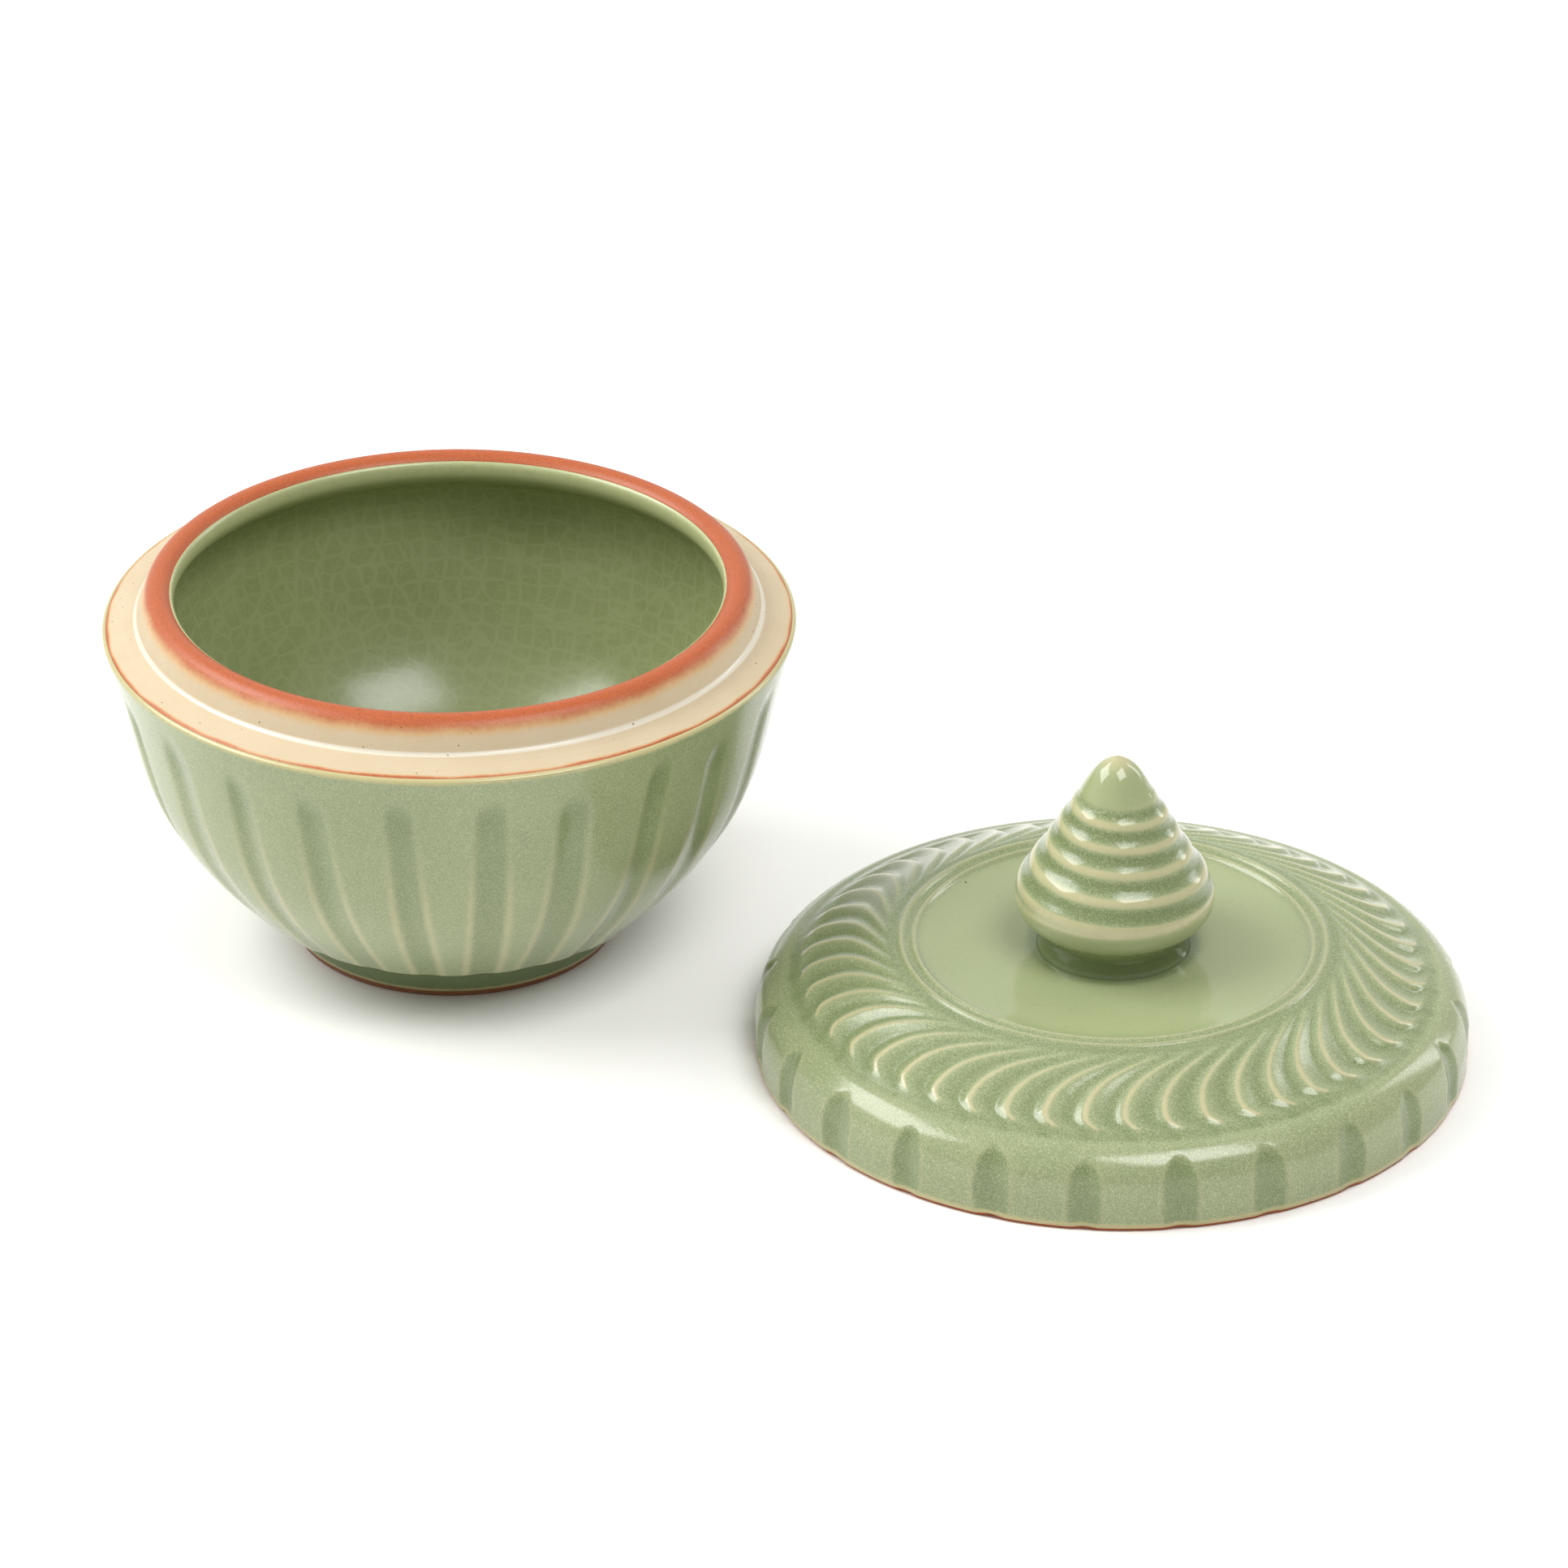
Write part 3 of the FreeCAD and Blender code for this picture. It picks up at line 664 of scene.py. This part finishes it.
def lid_thin(radius, height, angle):
    """Thin along the recesses' edges and on the crests of the swirl and the rings."""
    across, half, width, _ = recess_place(radius, height, angle)
    gap = arc_length(np.abs(across) - RECESS_EDGE * half, radius)
    recess = RECESS_EDGE_THIN * bell(gap, RECESS_EDGE_WIDTH) * ramp(width, 0.0, 0.25)
    phase, inward = swirl_place(radius, angle)
    pitch = arc_length(360.0 / RIDGES, radius)
    gentle_width, steep_width = SWIRL_THIN_WIDTHS
    crest = np.maximum(bell(phase * pitch, gentle_width), bell((1.0 - phase) * pitch, steep_width))
    outer_end = ramp(radius, TIP_RADIUS - 0.1, TIP_RADIUS - 1.3)
    inner_end = ramp(radius, BAND_INNER[0], BAND_INNER[0] + 5.0)
    swirl = crest * blend(*SWIRL_THIN, inward) * outer_end * inner_end
    rings = [RING_THIN * bell(radius - crest, RING_GLAZE_WIDTH) for crest in RINGS]
    return np.max([recess, swirl] + rings, axis=0)


def lid_pool_and_shade(radius, height, angle):
    """Deep in the recesses, between the swirl's ridges and in every corner, and darkened round the knob's
    neck as painted shade.
    """
    across, half, width, _ = recess_place(radius, height, angle)
    inside = ramp(np.abs(across) / np.maximum(half, 1e-3), *RECESS_POOL_HALVES)
    depth, ends, inward = swirl_height(radius, angle)
    on_band = ramp(radius, BAND_OUTER[0] + 1.0, BAND_OUTER[0] - 0.5)
    return np.max([
        RECESS_POOL * inside * ramp(width, 0.0, 0.5),
        depth ** SWIRL_POOL_POWER * ends * blend(*SWIRL_POOL, inward) * on_band,
        RING_POOL * bell(radius - (RINGS[0] + RINGS[1]) / 2, RING_GLAZE_WIDTH),
        BAND_EDGE_POOL * bell(radius - BAND_INNER[0], BAND_EDGE_WIDTH),
        # round the knob's neck: painted shade as well as pooled glaze
        NECK_POOL_AND_SHADE * bell(np.maximum(radius - NECK - 1.0, 0.0), NECK_POOL_AND_SHADE_WIDTH),
        HEM_POOL * bell(radius - HEM_POOL_RADIUS, HEM_POOL_WIDTH),
    ], axis=0)


def lid_mottle(radius, height, angle):
    """Mottled off the disc, and hardly at all on it."""
    off_disc = ramp(radius, DISC_RADIUS + 1.0, DISC_RADIUS + 4.0)
    return DISC_MOTTLE + off_disc * blend(*LID_MOTTLE, lid_pool_and_shade(radius, height, angle))


def lid_edge(radius, height, angle):
    """Millimetres to where the glaze ends, above the rim."""
    return np.abs(height - LID_BARE)


def lid_top_path():
    disc = straight([(NECK, DISC), (DISC_RADIUS, DISC)])
    band = [(DISC_RADIUS, DISC), BAND_INNER, BAND_MIDDLE, BAND_OUTER]
    shoulder = [LID_SHOULDER, (LID_RADIUS, LID_WALL_TOP)]
    wall = straight([(LID_RADIUS, LID_WALL_TOP), (LID_RADIUS, LID_BARE)])
    return soften(np.concatenate([disc, through(band + shoulder)[1:], wall[1:]]), width=0.4)


def make_lid_outside():
    path = lid_top_path()
    radius = path[:, 0]
    ends = (20.0, DISC_RADIUS + 0.5, BAND_INNER[0] - 0.2, BAND_OUTER[0] + 0.4)
    spacing = np.select([radius < end for end in ends], [0.8, 2.2, 0.3, 0.5], 0.8)
    rows = resample(path, spacing)
    back = resample(offset(path, HIDDEN), spacing=6.0)[::-1]
    relief = carved_front(lid_relief, len(rows))
    fields = {"thin": lid_thin, "pool_and_shade": lid_pool_and_shade, "mottle": lid_mottle, "edge": lid_edge}
    return lathe("lid_celadon_outside", np.concatenate([rows, back]), 864, LID_AXIS, relief, fields)


def lid_inside_path():
    return through([(SOCKET, SOCKET_BARE)] + CEILING_POINTS + [(0.0, CEILING)])


def make_lid_clay():
    """The lid's clay: its bare rim shows, the rest lies under the glaze."""
    middle = [(0.0, DISC - CLAY_HIDDEN)]
    hidden = resample(np.concatenate([middle, offset(lid_top_path(), CLAY_HIDDEN)]), spacing=4.0)
    rim = straight([
        (LID_RADIUS - COAT, LID_BARE + 0.2),
        (LID_RADIUS - COAT, 0.0),
        (RIM_FLAT, 0.0),
        (SOCKET, RIM_SLOPE_TOP),
        (SOCKET, SOCKET_BARE + 0.2),
    ])
    rim = resample(soften(rim, width=0.15), spacing=0.3)
    inside = resample(lid_inside_path()[3:], spacing=4.0)
    inside[-1, 0] = 0.0

    def relief(radius, height, angle):
        at_rim = ramp(radius, LID_RADIUS - 2.0, LID_RADIUS - 1.0) * (height < LID_BARE + 0.4)
        return lid_relief(radius, height, angle) * at_rim

    def flash_and_shade(radius, height, angle):
        return LID_FLASH * ramp(radius, *LID_FLASH_RADII)

    fields = {"flash_and_shade": flash_and_shade, "ringed": throwing_lines, "corner": constant(0.0)}
    path = np.concatenate([hidden, rim, inside])
    return lathe("lid_clay", path, 1200, LID_AXIS, relief, fields, closed=False)


def make_lid_inside():
    clay = lid_inside_path()
    seen = soften(offset(clay, -COAT), width=0.4)
    seen[-1, 0] = 0.0
    back = resample(clay, spacing=4.0)[::-1]
    back[0, 0] = 0.0
    path = np.concatenate([back, resample(seen, spacing=0.8)])

    def down(radius, height, angle):
        return 0.3 + 0.4 * height / CEILING

    return lathe("lid_celadon_inside", path, 360, LID_AXIS, None, {"down": down}, closed=False)


# Knob

def spiral_groove(radius, height, angle):
    """0 on the spiral's crest, 1 in its groove, and 0 past its two ends.

    After n turns the crest has risen by SPIRAL_PITCH * n - SPIRAL_TIGHTENING * n ** 2.
    """
    rise = height - SPIRAL_CREST
    root = np.sqrt(SPIRAL_PITCH ** 2 - 4.0 * SPIRAL_TIGHTENING * rise)
    turns = (SPIRAL_PITCH - root) / (2.0 * SPIRAL_TIGHTENING) + angle / 360.0
    groove = 0.5 - 0.5 * np.cos(2 * math.pi * turns)
    return groove * math.prod(ramp(height, start, full) for start, full in SPIRAL_ENDS)


def make_knob():
    cone = through([(0.0, KNOB_TOP)] + KNOB + KNOB_UNDER)
    flare = [(NECK, DISC + 0.7), (NECK + 0.5, DISC - 0.05), (NECK + 0.3, DISC - 0.4)]
    neck = straight([(NECK, NECK_TOP)] + flare)
    path = soften(np.concatenate([cone, neck[1:]]), width=0.35)
    path[0] = (0.0, KNOB_TOP)
    foot = straight([(NECK + 0.1, DISC - 0.6), (0.0, DISC - 0.6)], step=3.0)

    def relief(radius, height, angle):
        return SPIRAL_DEPTH * spiral_groove(radius, height, angle)

    def pool_and_shade(radius, height, angle):
        groove = SPIRAL_POOL * ramp(spiral_groove(radius, height, angle), 0.25, 0.90)
        # under the knob: pooled glaze and painted shade
        return np.maximum(groove, KNOB_UNDER_POOL_AND_SHADE * ramp(height, 29.5, NECK_TOP))

    def thin(radius, height, angle):
        crest = ramp(spiral_groove(radius, height, angle), 0.48, 0.0)
        crest = crest * ramp(height, 56.5, 53.5) * ramp(height, 32.5, 34.5)
        return np.maximum(SPIRAL_THIN * crest, KNOB_TIP_THIN * ramp(height, 59.5, 62.5))

    def mottle(radius, height, angle):
        return KNOB_MOTTLE + SPIRAL_MOTTLE * ramp(spiral_groove(radius, height, angle), 0.2, 0.6)

    fields = {"thin": thin, "pool_and_shade": pool_and_shade, "mottle": mottle, "edge": constant(EVEN)}
    path = np.concatenate([resample(path, spacing=0.35), foot])
    return lathe("knob_celadon", path, 480, LID_AXIS, relief, fields, closed=False)


# Materials

def linear(red, green, blue):
    """Linear colour from 0 to 255 display values."""
    def one(value):
        value /= 255.0
        return value / 12.92 if value <= 0.04045 else ((value + 0.055) / 1.055) ** 2.4
    return (one(red), one(green), one(blue), 1.0)


def palette(**colours):
    """Linear colours by name, from display values."""
    return {name: linear(*colour) for name, colour in colours.items()}


OUTSIDE = palette(
    even=(146, 155, 115),
    patch=(139, 149, 109),
    disc=(153, 162, 119),
    pooled=(113, 127, 85),
    # darkest green: painted shade under the knob and under the ledge, over pooled glaze
    thinned=(171, 178, 141),
    deepest=(72, 84, 46),
    crest=(190, 183, 145),
    crest_grain=(177, 172, 131),
    rim=(186, 176, 128),
    crack=(110, 118, 80),
    speck=(88, 72, 42),
)
WITHIN = palette(
    even=(136, 144, 99),
    patch=(129, 138, 91),
    mouth=(176, 180, 132),
    bottom=(144, 152, 108),
    vein=(164, 172, 128),
    crack=(100, 108, 66),
    speck=(150, 128, 60),
)
CLAY = palette(
    cream=(200, 185, 158),
    blotch=(190, 172, 140),
    grain=(192, 168, 126),
    # painted sheen: the whitish colour of the glossy corner line
    wet=(226, 222, 208),
    tan=(198, 160, 114),
    orange=(184, 94, 46),
    orange_grain=(156, 73, 33),
    # painted shade: the foot's ring's orange darkened to brown
    burnt=(128, 78, 44),
    speck=(86, 52, 32),
)
TABLE = linear(250, 249, 247)
GLAZE_IOR = 1.52
CLAY_IOR = 1.48
CHANCE_SCATTER = 7.3         # these two make unlike numbers out of a cell's one random colour
SIZE_SCATTER = 31.7


class Nodes:
    """Short ways to add the nodes of one material."""

    def __init__(self, name):
        self.material = bpy.data.materials.new(name)
        self.material.use_nodes = True
        self.tree = self.material.node_tree
        self.tree.nodes.clear()
        self.coordinates = self.add("ShaderNodeTexCoord").outputs["Object"]

    def add(self, kind, **settings):
        node = self.tree.nodes.new(kind)
        for key, value in settings.items():
            setattr(node, key, value)
        return node

    def link(self, value, socket):
        """Puts a number, a colour or another node's output on a socket."""
        if isinstance(value, bpy.types.NodeSocket):
            self.tree.links.new(value, socket)
        else:
            socket.default_value = value

    def math(self, operation, a, b=0.0):
        node = self.add("ShaderNodeMath", operation=operation)
        self.link(a, node.inputs[0])
        self.link(b, node.inputs[1])
        return node.outputs[0]

    def plus(self, a, b):
        return self.math("ADD", a, b)

    def times(self, a, b):
        return self.math("MULTIPLY", a, b)

    def swing(self, value, amount):
        """A value of 0 to 1 made to swing about 0 instead, over this amount in all."""
        return self.times(self.math("SUBTRACT", value, 0.5), amount)

    def attribute(self, name):
        return self.add("ShaderNodeAttribute", attribute_name=name).outputs["Fac"]

    def noise(self, size_mm, detail=2.0, roughness=0.5):
        node = self.add("ShaderNodeTexNoise")
        self.link(self.coordinates, node.inputs["Vector"])
        node.inputs["Scale"].default_value = 1.0 / (size_mm * MM)
        node.inputs["Detail"].default_value = detail
        node.inputs["Roughness"].default_value = roughness
        return node.outputs["Fac"]

    def cells(self, size_mm, feature="F1", vector=None, randomness=1.0):
        node = self.add("ShaderNodeTexVoronoi", feature=feature)
        self.link(vector or self.coordinates, node.inputs["Vector"])
        node.inputs["Scale"].default_value = 1.0 / (size_mm * MM)
        node.inputs["Randomness"].default_value = randomness
        return node

    def span(self, value, low, high, start=0.0, end=1.0):
        """value from low to high, smoothly turned to start to end."""
        node = self.add("ShaderNodeMapRange", interpolation_type="SMOOTHSTEP")
        self.link(value, node.inputs["Value"])
        for key, number in (("From Min", low), ("From Max", high), ("To Min", start), ("To Max", end)):
            self.link(number, node.inputs[key])
        return node.outputs["Result"]

    def mix(self, factor, a, b):
        node = self.add("ShaderNodeMix", data_type="RGBA")
        self.link(factor, node.inputs["Factor"])
        self.link(a, node.inputs["A"])
        self.link(b, node.inputs["B"])
        return node.outputs["Result"]

    def bump(self, height, distance_mm, strength):
        node = self.add("ShaderNodeBump")
        node.inputs["Strength"].default_value = strength
        node.inputs["Distance"].default_value = distance_mm * MM
        self.link(height, node.inputs["Height"])
        return node.outputs["Normal"]

    def finish(self, colour, roughness, normal=None, ior=1.5):
        shader = self.add("ShaderNodeBsdfPrincipled")
        self.link(colour, shader.inputs["Base Color"])
        self.link(roughness, shader.inputs["Roughness"])
        shader.inputs["IOR"].default_value = ior
        if normal:
            self.link(normal, shader.inputs["Normal"])
        output = self.add("ShaderNodeOutputMaterial")
        self.tree.links.new(shader.outputs[0], output.inputs["Surface"])
        return self.material


def warped(nodes, size_mm, amount_mm):
    """Coordinates bent by a noise, so that cracks and cells wander."""
    noise = nodes.add("ShaderNodeTexNoise")
    nodes.link(nodes.coordinates, noise.inputs["Vector"])
    noise.inputs["Scale"].default_value = 1.0 / (size_mm * MM)
    centred = nodes.add("ShaderNodeVectorMath", operation="SUBTRACT")
    nodes.link(noise.outputs["Color"], centred.inputs[0])
    centred.inputs[1].default_value = (0.5, 0.5, 0.5)
    scaled = nodes.add("ShaderNodeVectorMath", operation="SCALE")
    nodes.link(centred.outputs[0], scaled.inputs[0])
    scaled.inputs["Scale"].default_value = amount_mm * MM
    total = nodes.add("ShaderNodeVectorMath", operation="ADD")
    nodes.link(nodes.coordinates, total.inputs[0])
    nodes.link(scaled.outputs[0], total.inputs[1])
    return total.outputs[0]


def crackle(nodes, cell_mm, line_mm, vector, randomness=0.85):
    """1 on the crack lines and 0 between them."""
    gap = nodes.cells(cell_mm, "DISTANCE_TO_EDGE", vector, randomness).outputs["Distance"]
    width = nodes.times(nodes.noise(size_mm=3.0), line_mm / cell_mm)
    return nodes.span(gap, 0.0, width, 1.0, 0.0)


def specks(nodes, cell_mm, low_mm, high_mm, share):
    """1 on scattered iron specks: this share of the cells has one, each of its own size."""
    spots = nodes.cells(cell_mm)
    chance = nodes.math("FRACT", nodes.times(spots.outputs["Color"], CHANCE_SCATTER))
    chosen = nodes.math("LESS_THAN", chance, share)
    size = nodes.math("FRACT", nodes.times(spots.outputs["Color"], SIZE_SCATTER))
    reach = nodes.span(size, 0.0, 1.0, low_mm / cell_mm, high_mm / cell_mm)
    inner = nodes.times(reach, 0.55)
    return nodes.times(nodes.span(spots.outputs["Distance"], inner, reach, 1.0, 0.0), chosen)


def celadon_outside():
    """Pale glaze: darker where it pools, and darkest as painted shade under the knob and under the ledge,
    cream where it thins, mottled in the carving, faintly crazed.
    """
    nodes = Nodes("celadon_outside")
    pool_and_shade = nodes.attribute("pool_and_shade")
    thin = nodes.attribute("thin")
    mottle = nodes.attribute("mottle")
    edge = nodes.attribute("edge")
    fine = nodes.span(nodes.noise(size_mm=0.25, detail=2.0, roughness=0.6), 0.32, 0.68)
    grain = nodes.noise(size_mm=0.9, detail=3.0, roughness=0.6)
    patch = nodes.span(nodes.noise(size_mm=18.0, detail=3.0), 0.3, 0.7)
    wander = nodes.swing(nodes.noise(size_mm=2.2, detail=2.0), 0.5)

    light = nodes.mix(patch, OUTSIDE["even"], OUTSIDE["patch"])
    calm = nodes.span(mottle, 0.15, 0.45, 1.0, 0.0)
    light = nodes.mix(calm, light, OUTSIDE["disc"])
    uneven = nodes.swing(fine, nodes.times(mottle, 1.4))
    cloud = nodes.swing(grain, nodes.times(mottle, 0.7))
    deep = nodes.plus(nodes.plus(pool_and_shade, uneven), cloud)
    colour = nodes.mix(nodes.span(deep, 0.0, 1.0), light, OUTSIDE["pooled"])
    colour = nodes.mix(nodes.span(deep, 0.0, -0.6), colour, OUTSIDE["thinned"])
    # painted shade: darkest green where the pooling number goes past the glaze's own pools, under the knob
    # and under the ledge
    colour = nodes.mix(nodes.span(pool_and_shade, 0.85, 1.30), colour, OUTSIDE["deepest"])

    ragged = nodes.plus(thin, nodes.times(wander, thin))
    cream = nodes.mix(grain, OUTSIDE["crest"], OUTSIDE["crest_grain"])
    colour = nodes.mix(nodes.span(ragged, 0.04, 0.95), colour, cream)
    rim = nodes.span(nodes.plus(edge, wander), 0.35, 1.25, 0.95, 0.0)
    colour = nodes.mix(rim, colour, OUTSIDE["rim"])
    cracks = crackle(nodes, cell_mm=4.6, line_mm=0.13, vector=warped(nodes, size_mm=6.0, amount_mm=3.0))
    colour = nodes.mix(nodes.times(cracks, 0.10), colour, OUTSIDE["crack"])
    spots = specks(nodes, cell_mm=6.0, low_mm=0.12, high_mm=0.32, share=0.3)
    colour = nodes.mix(spots, colour, OUTSIDE["speck"])

    relief = nodes.times(nodes.plus(fine, nodes.times(grain, 2.0)), mottle)
    normal = nodes.bump(relief, distance_mm=0.010, strength=0.9)
    return nodes.finish(colour, nodes.span(grain, 0.3, 0.8, 0.06, 0.12), normal, GLAZE_IOR)


def celadon_inside():
    """Olive glaze with a pale net of crackle, each line with a dark hair of a crack along its middle."""
    nodes = Nodes("celadon_inside")
    down = nodes.attribute("down")
    patch = nodes.span(nodes.noise(size_mm=20.0, detail=3.0), 0.3, 0.7)
    deep = nodes.mix(patch, WITHIN["even"], WITHIN["patch"])
    colour = nodes.mix(nodes.span(down, 0.02, 0.09), WITHIN["mouth"], deep)
    colour = nodes.mix(nodes.span(down, 0.45, 1.0), colour, WITHIN["bottom"])

    vector = warped(nodes, size_mm=9.0, amount_mm=3.0)
    wide = crackle(nodes, cell_mm=3.9, line_mm=1.1, vector=vector, randomness=0.4)
    hair = crackle(nodes, cell_mm=3.9, line_mm=0.16, vector=vector, randomness=0.4)
    small = crackle(nodes, cell_mm=2.2, line_mm=0.45, vector=vector, randomness=0.5)
    veins = nodes.math("MAXIMUM", nodes.times(wide, 0.28), nodes.times(small, 0.16))
    colour = nodes.mix(veins, colour, WITHIN["vein"])
    colour = nodes.mix(nodes.times(hair, 0.16), colour, WITHIN["crack"])
    spots = specks(nodes, cell_mm=9.0, low_mm=0.12, high_mm=0.28, share=0.10)
    colour = nodes.mix(spots, colour, WITHIN["speck"])

    relief = nodes.math("SUBTRACT", nodes.noise(size_mm=1.6, detail=3.0), nodes.times(wide, 0.5))
    normal = nodes.bump(relief, distance_mm=0.012, strength=0.7)
    return nodes.finish(colour, 0.24, normal, GLAZE_IOR)


def stoneware():
    """Bare clay: cream with throwing lines, glossy with a painted whitish sheen in the corner, orange where
    the fire flashed it, and brown as painted shade on the foot's ring.
    """
    nodes = Nodes("bare_stoneware")
    flash_and_shade = nodes.attribute("flash_and_shade")
    ringed = nodes.attribute("ringed")
    corner = nodes.attribute("corner")
    grain = nodes.noise(size_mm=0.30, detail=3.0, roughness=0.65)
    blotch = nodes.noise(size_mm=7.0, detail=3.0)
    line = nodes.add("ShaderNodeTexNoise", noise_dimensions="1D")
    nodes.link(ringed, line.inputs["W"])
    line.inputs["Scale"].default_value = 2.2
    line.inputs["Detail"].default_value = 4.0
    thrown = line.outputs["Fac"]

    cream = nodes.mix(blotch, CLAY["cream"], CLAY["blotch"])
    cream = nodes.mix(nodes.span(grain, 0.35, 0.75, 0.0, 0.35), cream, CLAY["grain"])
    # painted sheen: the glossy corner line lightened towards white, and made less rough
    wet = nodes.span(nodes.plus(corner, nodes.swing(thrown, 2.4)), 0.40, 0.85)
    cream = nodes.mix(nodes.times(wet, 0.65), cream, CLAY["wet"])

    orange = nodes.mix(nodes.span(grain, 0.3, 0.7), CLAY["orange"], CLAY["orange_grain"])
    jitter = nodes.swing(nodes.noise(size_mm=1.1, detail=4.0), 0.20)
    amount = nodes.span(nodes.plus(flash_and_shade, jitter), 0.0, 0.95)
    colour = nodes.mix(nodes.span(amount, 0.0, 0.5), cream, CLAY["tan"])
    colour = nodes.mix(nodes.span(amount, 0.35, 1.0), colour, orange)
    # painted shade: the foot's ring turned from orange to brown
    colour = nodes.mix(nodes.span(flash_and_shade, 1.05, 1.5), colour, CLAY["burnt"])
    spots = specks(nodes, cell_mm=2.0, low_mm=0.08, high_mm=0.26, share=0.6)
    colour = nodes.mix(nodes.times(spots, 0.8), colour, CLAY["speck"])

    dry_rough = nodes.span(amount, 0.0, 1.0, 0.55, 0.40)
    wet_rough = nodes.span(wet, 0.0, 1.0, 0.60, 0.18)
    relief = nodes.plus(nodes.times(thrown, 1.4), grain)
    normal = nodes.bump(relief, distance_mm=0.022, strength=0.8)
    return nodes.finish(colour, nodes.math("MINIMUM", dry_rough, wet_rough), normal, CLAY_IOR)


def dress(obj, body, slot, material, *nodes):
    """One finished piece: its material, the body it rides on, its slot, which is not used, and the CAD nodes
    it stands for.
    """
    obj.data.materials.append(material)
    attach(obj, body)
    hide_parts(*nodes)


outside = celadon_outside()
inside = celadon_inside()
clay = stoneware()
dress(make_bowl_clay(), "bowl", "bare_stoneware", clay, "bowl_body")
dress(make_bowl_outside(), "bowl", "celadon_outside", outside, "bowl_outer_glaze")
dress(make_bowl_inside(), "bowl", "celadon_inside", inside, "bowl_inner_glaze")
dress(make_foot_well(), "bowl", "celadon_outside", outside, "foot_well_glaze")
dress(make_lid_clay(), "lid", "bare_stoneware", clay, "lid_body")
dress(make_lid_outside(), "lid", "celadon_outside", outside, "lid_outer_glaze")
dress(make_lid_inside(), "lid", "celadon_inside", inside, "lid_inner_glaze")
dress(make_knob(), "lid", "celadon_outside", outside, "knob_glaze")
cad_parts["knob"].data.materials.clear()
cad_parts["knob"].data.materials.append(clay)


# Stage, light and camera

right = np.array([math.cos(AZIMUTH), math.sin(AZIMUTH), 0.0])
ahead = np.array([-math.sin(AZIMUTH), math.cos(AZIMUTH), 0.0])
above = np.array([0.0, 0.0, 1.0])
look = ahead * math.cos(PITCH) - above * math.sin(PITCH)
up = ahead * math.sin(PITCH) + above * math.cos(PITCH)
centre = np.array([LID_AXIS * MM / 2, 0.0, LIT_HEIGHT])


def seen_direction(to_right, to_ahead, to_above):
    """Unit direction from its parts to the camera's right, straight ahead on the level, and up."""
    toward = right * to_right + ahead * to_ahead + above * to_above
    return toward / np.linalg.norm(toward)


def aim(obj, target):
    direction = Vector(target) - obj.location
    obj.rotation_euler = direction.to_track_quat("-Z", "Y").to_euler()


def make_floor():
    mesh = bpy.data.meshes.new("floor")
    corners = [(-1, -1), (1, -1), (1, 1), (-1, 1)]
    mesh.from_pydata([(FLOOR_SIDE * x, FLOOR_SIDE * y, 0.0) for x, y in corners], [], [(0, 1, 2, 3)])
    floor = bpy.data.objects.new("floor", mesh)
    bpy.context.scene.collection.objects.link(floor)
    mesh.materials.append(Nodes("floor").finish(TABLE, 0.6))


def make_light(name, direction, distance, size, radiance):
    """Soft box of the given radiance, facing the pieces."""
    data = bpy.data.lights.new(name, "AREA")
    data.shape = "RECTANGLE"
    data.size, data.size_y = size
    data.energy = radiance * math.pi * size[0] * size[1]
    light = bpy.data.objects.new(name, data)
    bpy.context.scene.collection.objects.link(light)
    light.location = centre + seen_direction(*direction) * distance
    aim(light, centre)


def make_world():
    """Soft white surroundings, bright ahead and to the left and dim behind the camera and to the right."""
    world = bpy.data.worlds.new("studio")
    bpy.context.scene.world = world
    world.use_nodes = True
    tree = world.node_tree
    background = tree.nodes["Background"]
    background.inputs["Color"].default_value = (1.0, 1.0, 1.0, 1.0)
    place = tree.nodes.new("ShaderNodeTexCoord")
    facing = tree.nodes.new("ShaderNodeVectorMath")
    facing.operation = "DOT_PRODUCT"
    facing.inputs[1].default_value = tuple(seen_direction(*WORLD_BRIGHT))
    fall = tree.nodes.new("ShaderNodeMapRange")
    fall.interpolation_type = "SMOOTHSTEP"
    for key, value in WORLD_FALL.items():
        fall.inputs[key].default_value = value
    tree.links.new(place.outputs["Generated"], facing.inputs[0])
    tree.links.new(facing.outputs["Value"], fall.inputs["Value"])
    tree.links.new(fall.outputs["Result"], background.inputs["Strength"])


def make_camera():
    data = bpy.data.cameras.new("camera")
    data.lens = LENS
    data.sensor_width = 36.0
    camera = bpy.data.objects.new("camera", data)
    bpy.context.scene.collection.objects.link(camera)
    target = np.array([LID_AXIS * MM, 0.0, 0.0]) - right * LID_RIGHT + up * LID_BELOW
    camera.location = target - look * RANGE
    aim(camera, target)
    bpy.context.scene.camera = camera


make_floor()
make_world()
for name, light in LIGHTS.items():
    make_light(name, *light)
make_camera()
bpy.context.scene.view_settings.view_transform = "Standard"
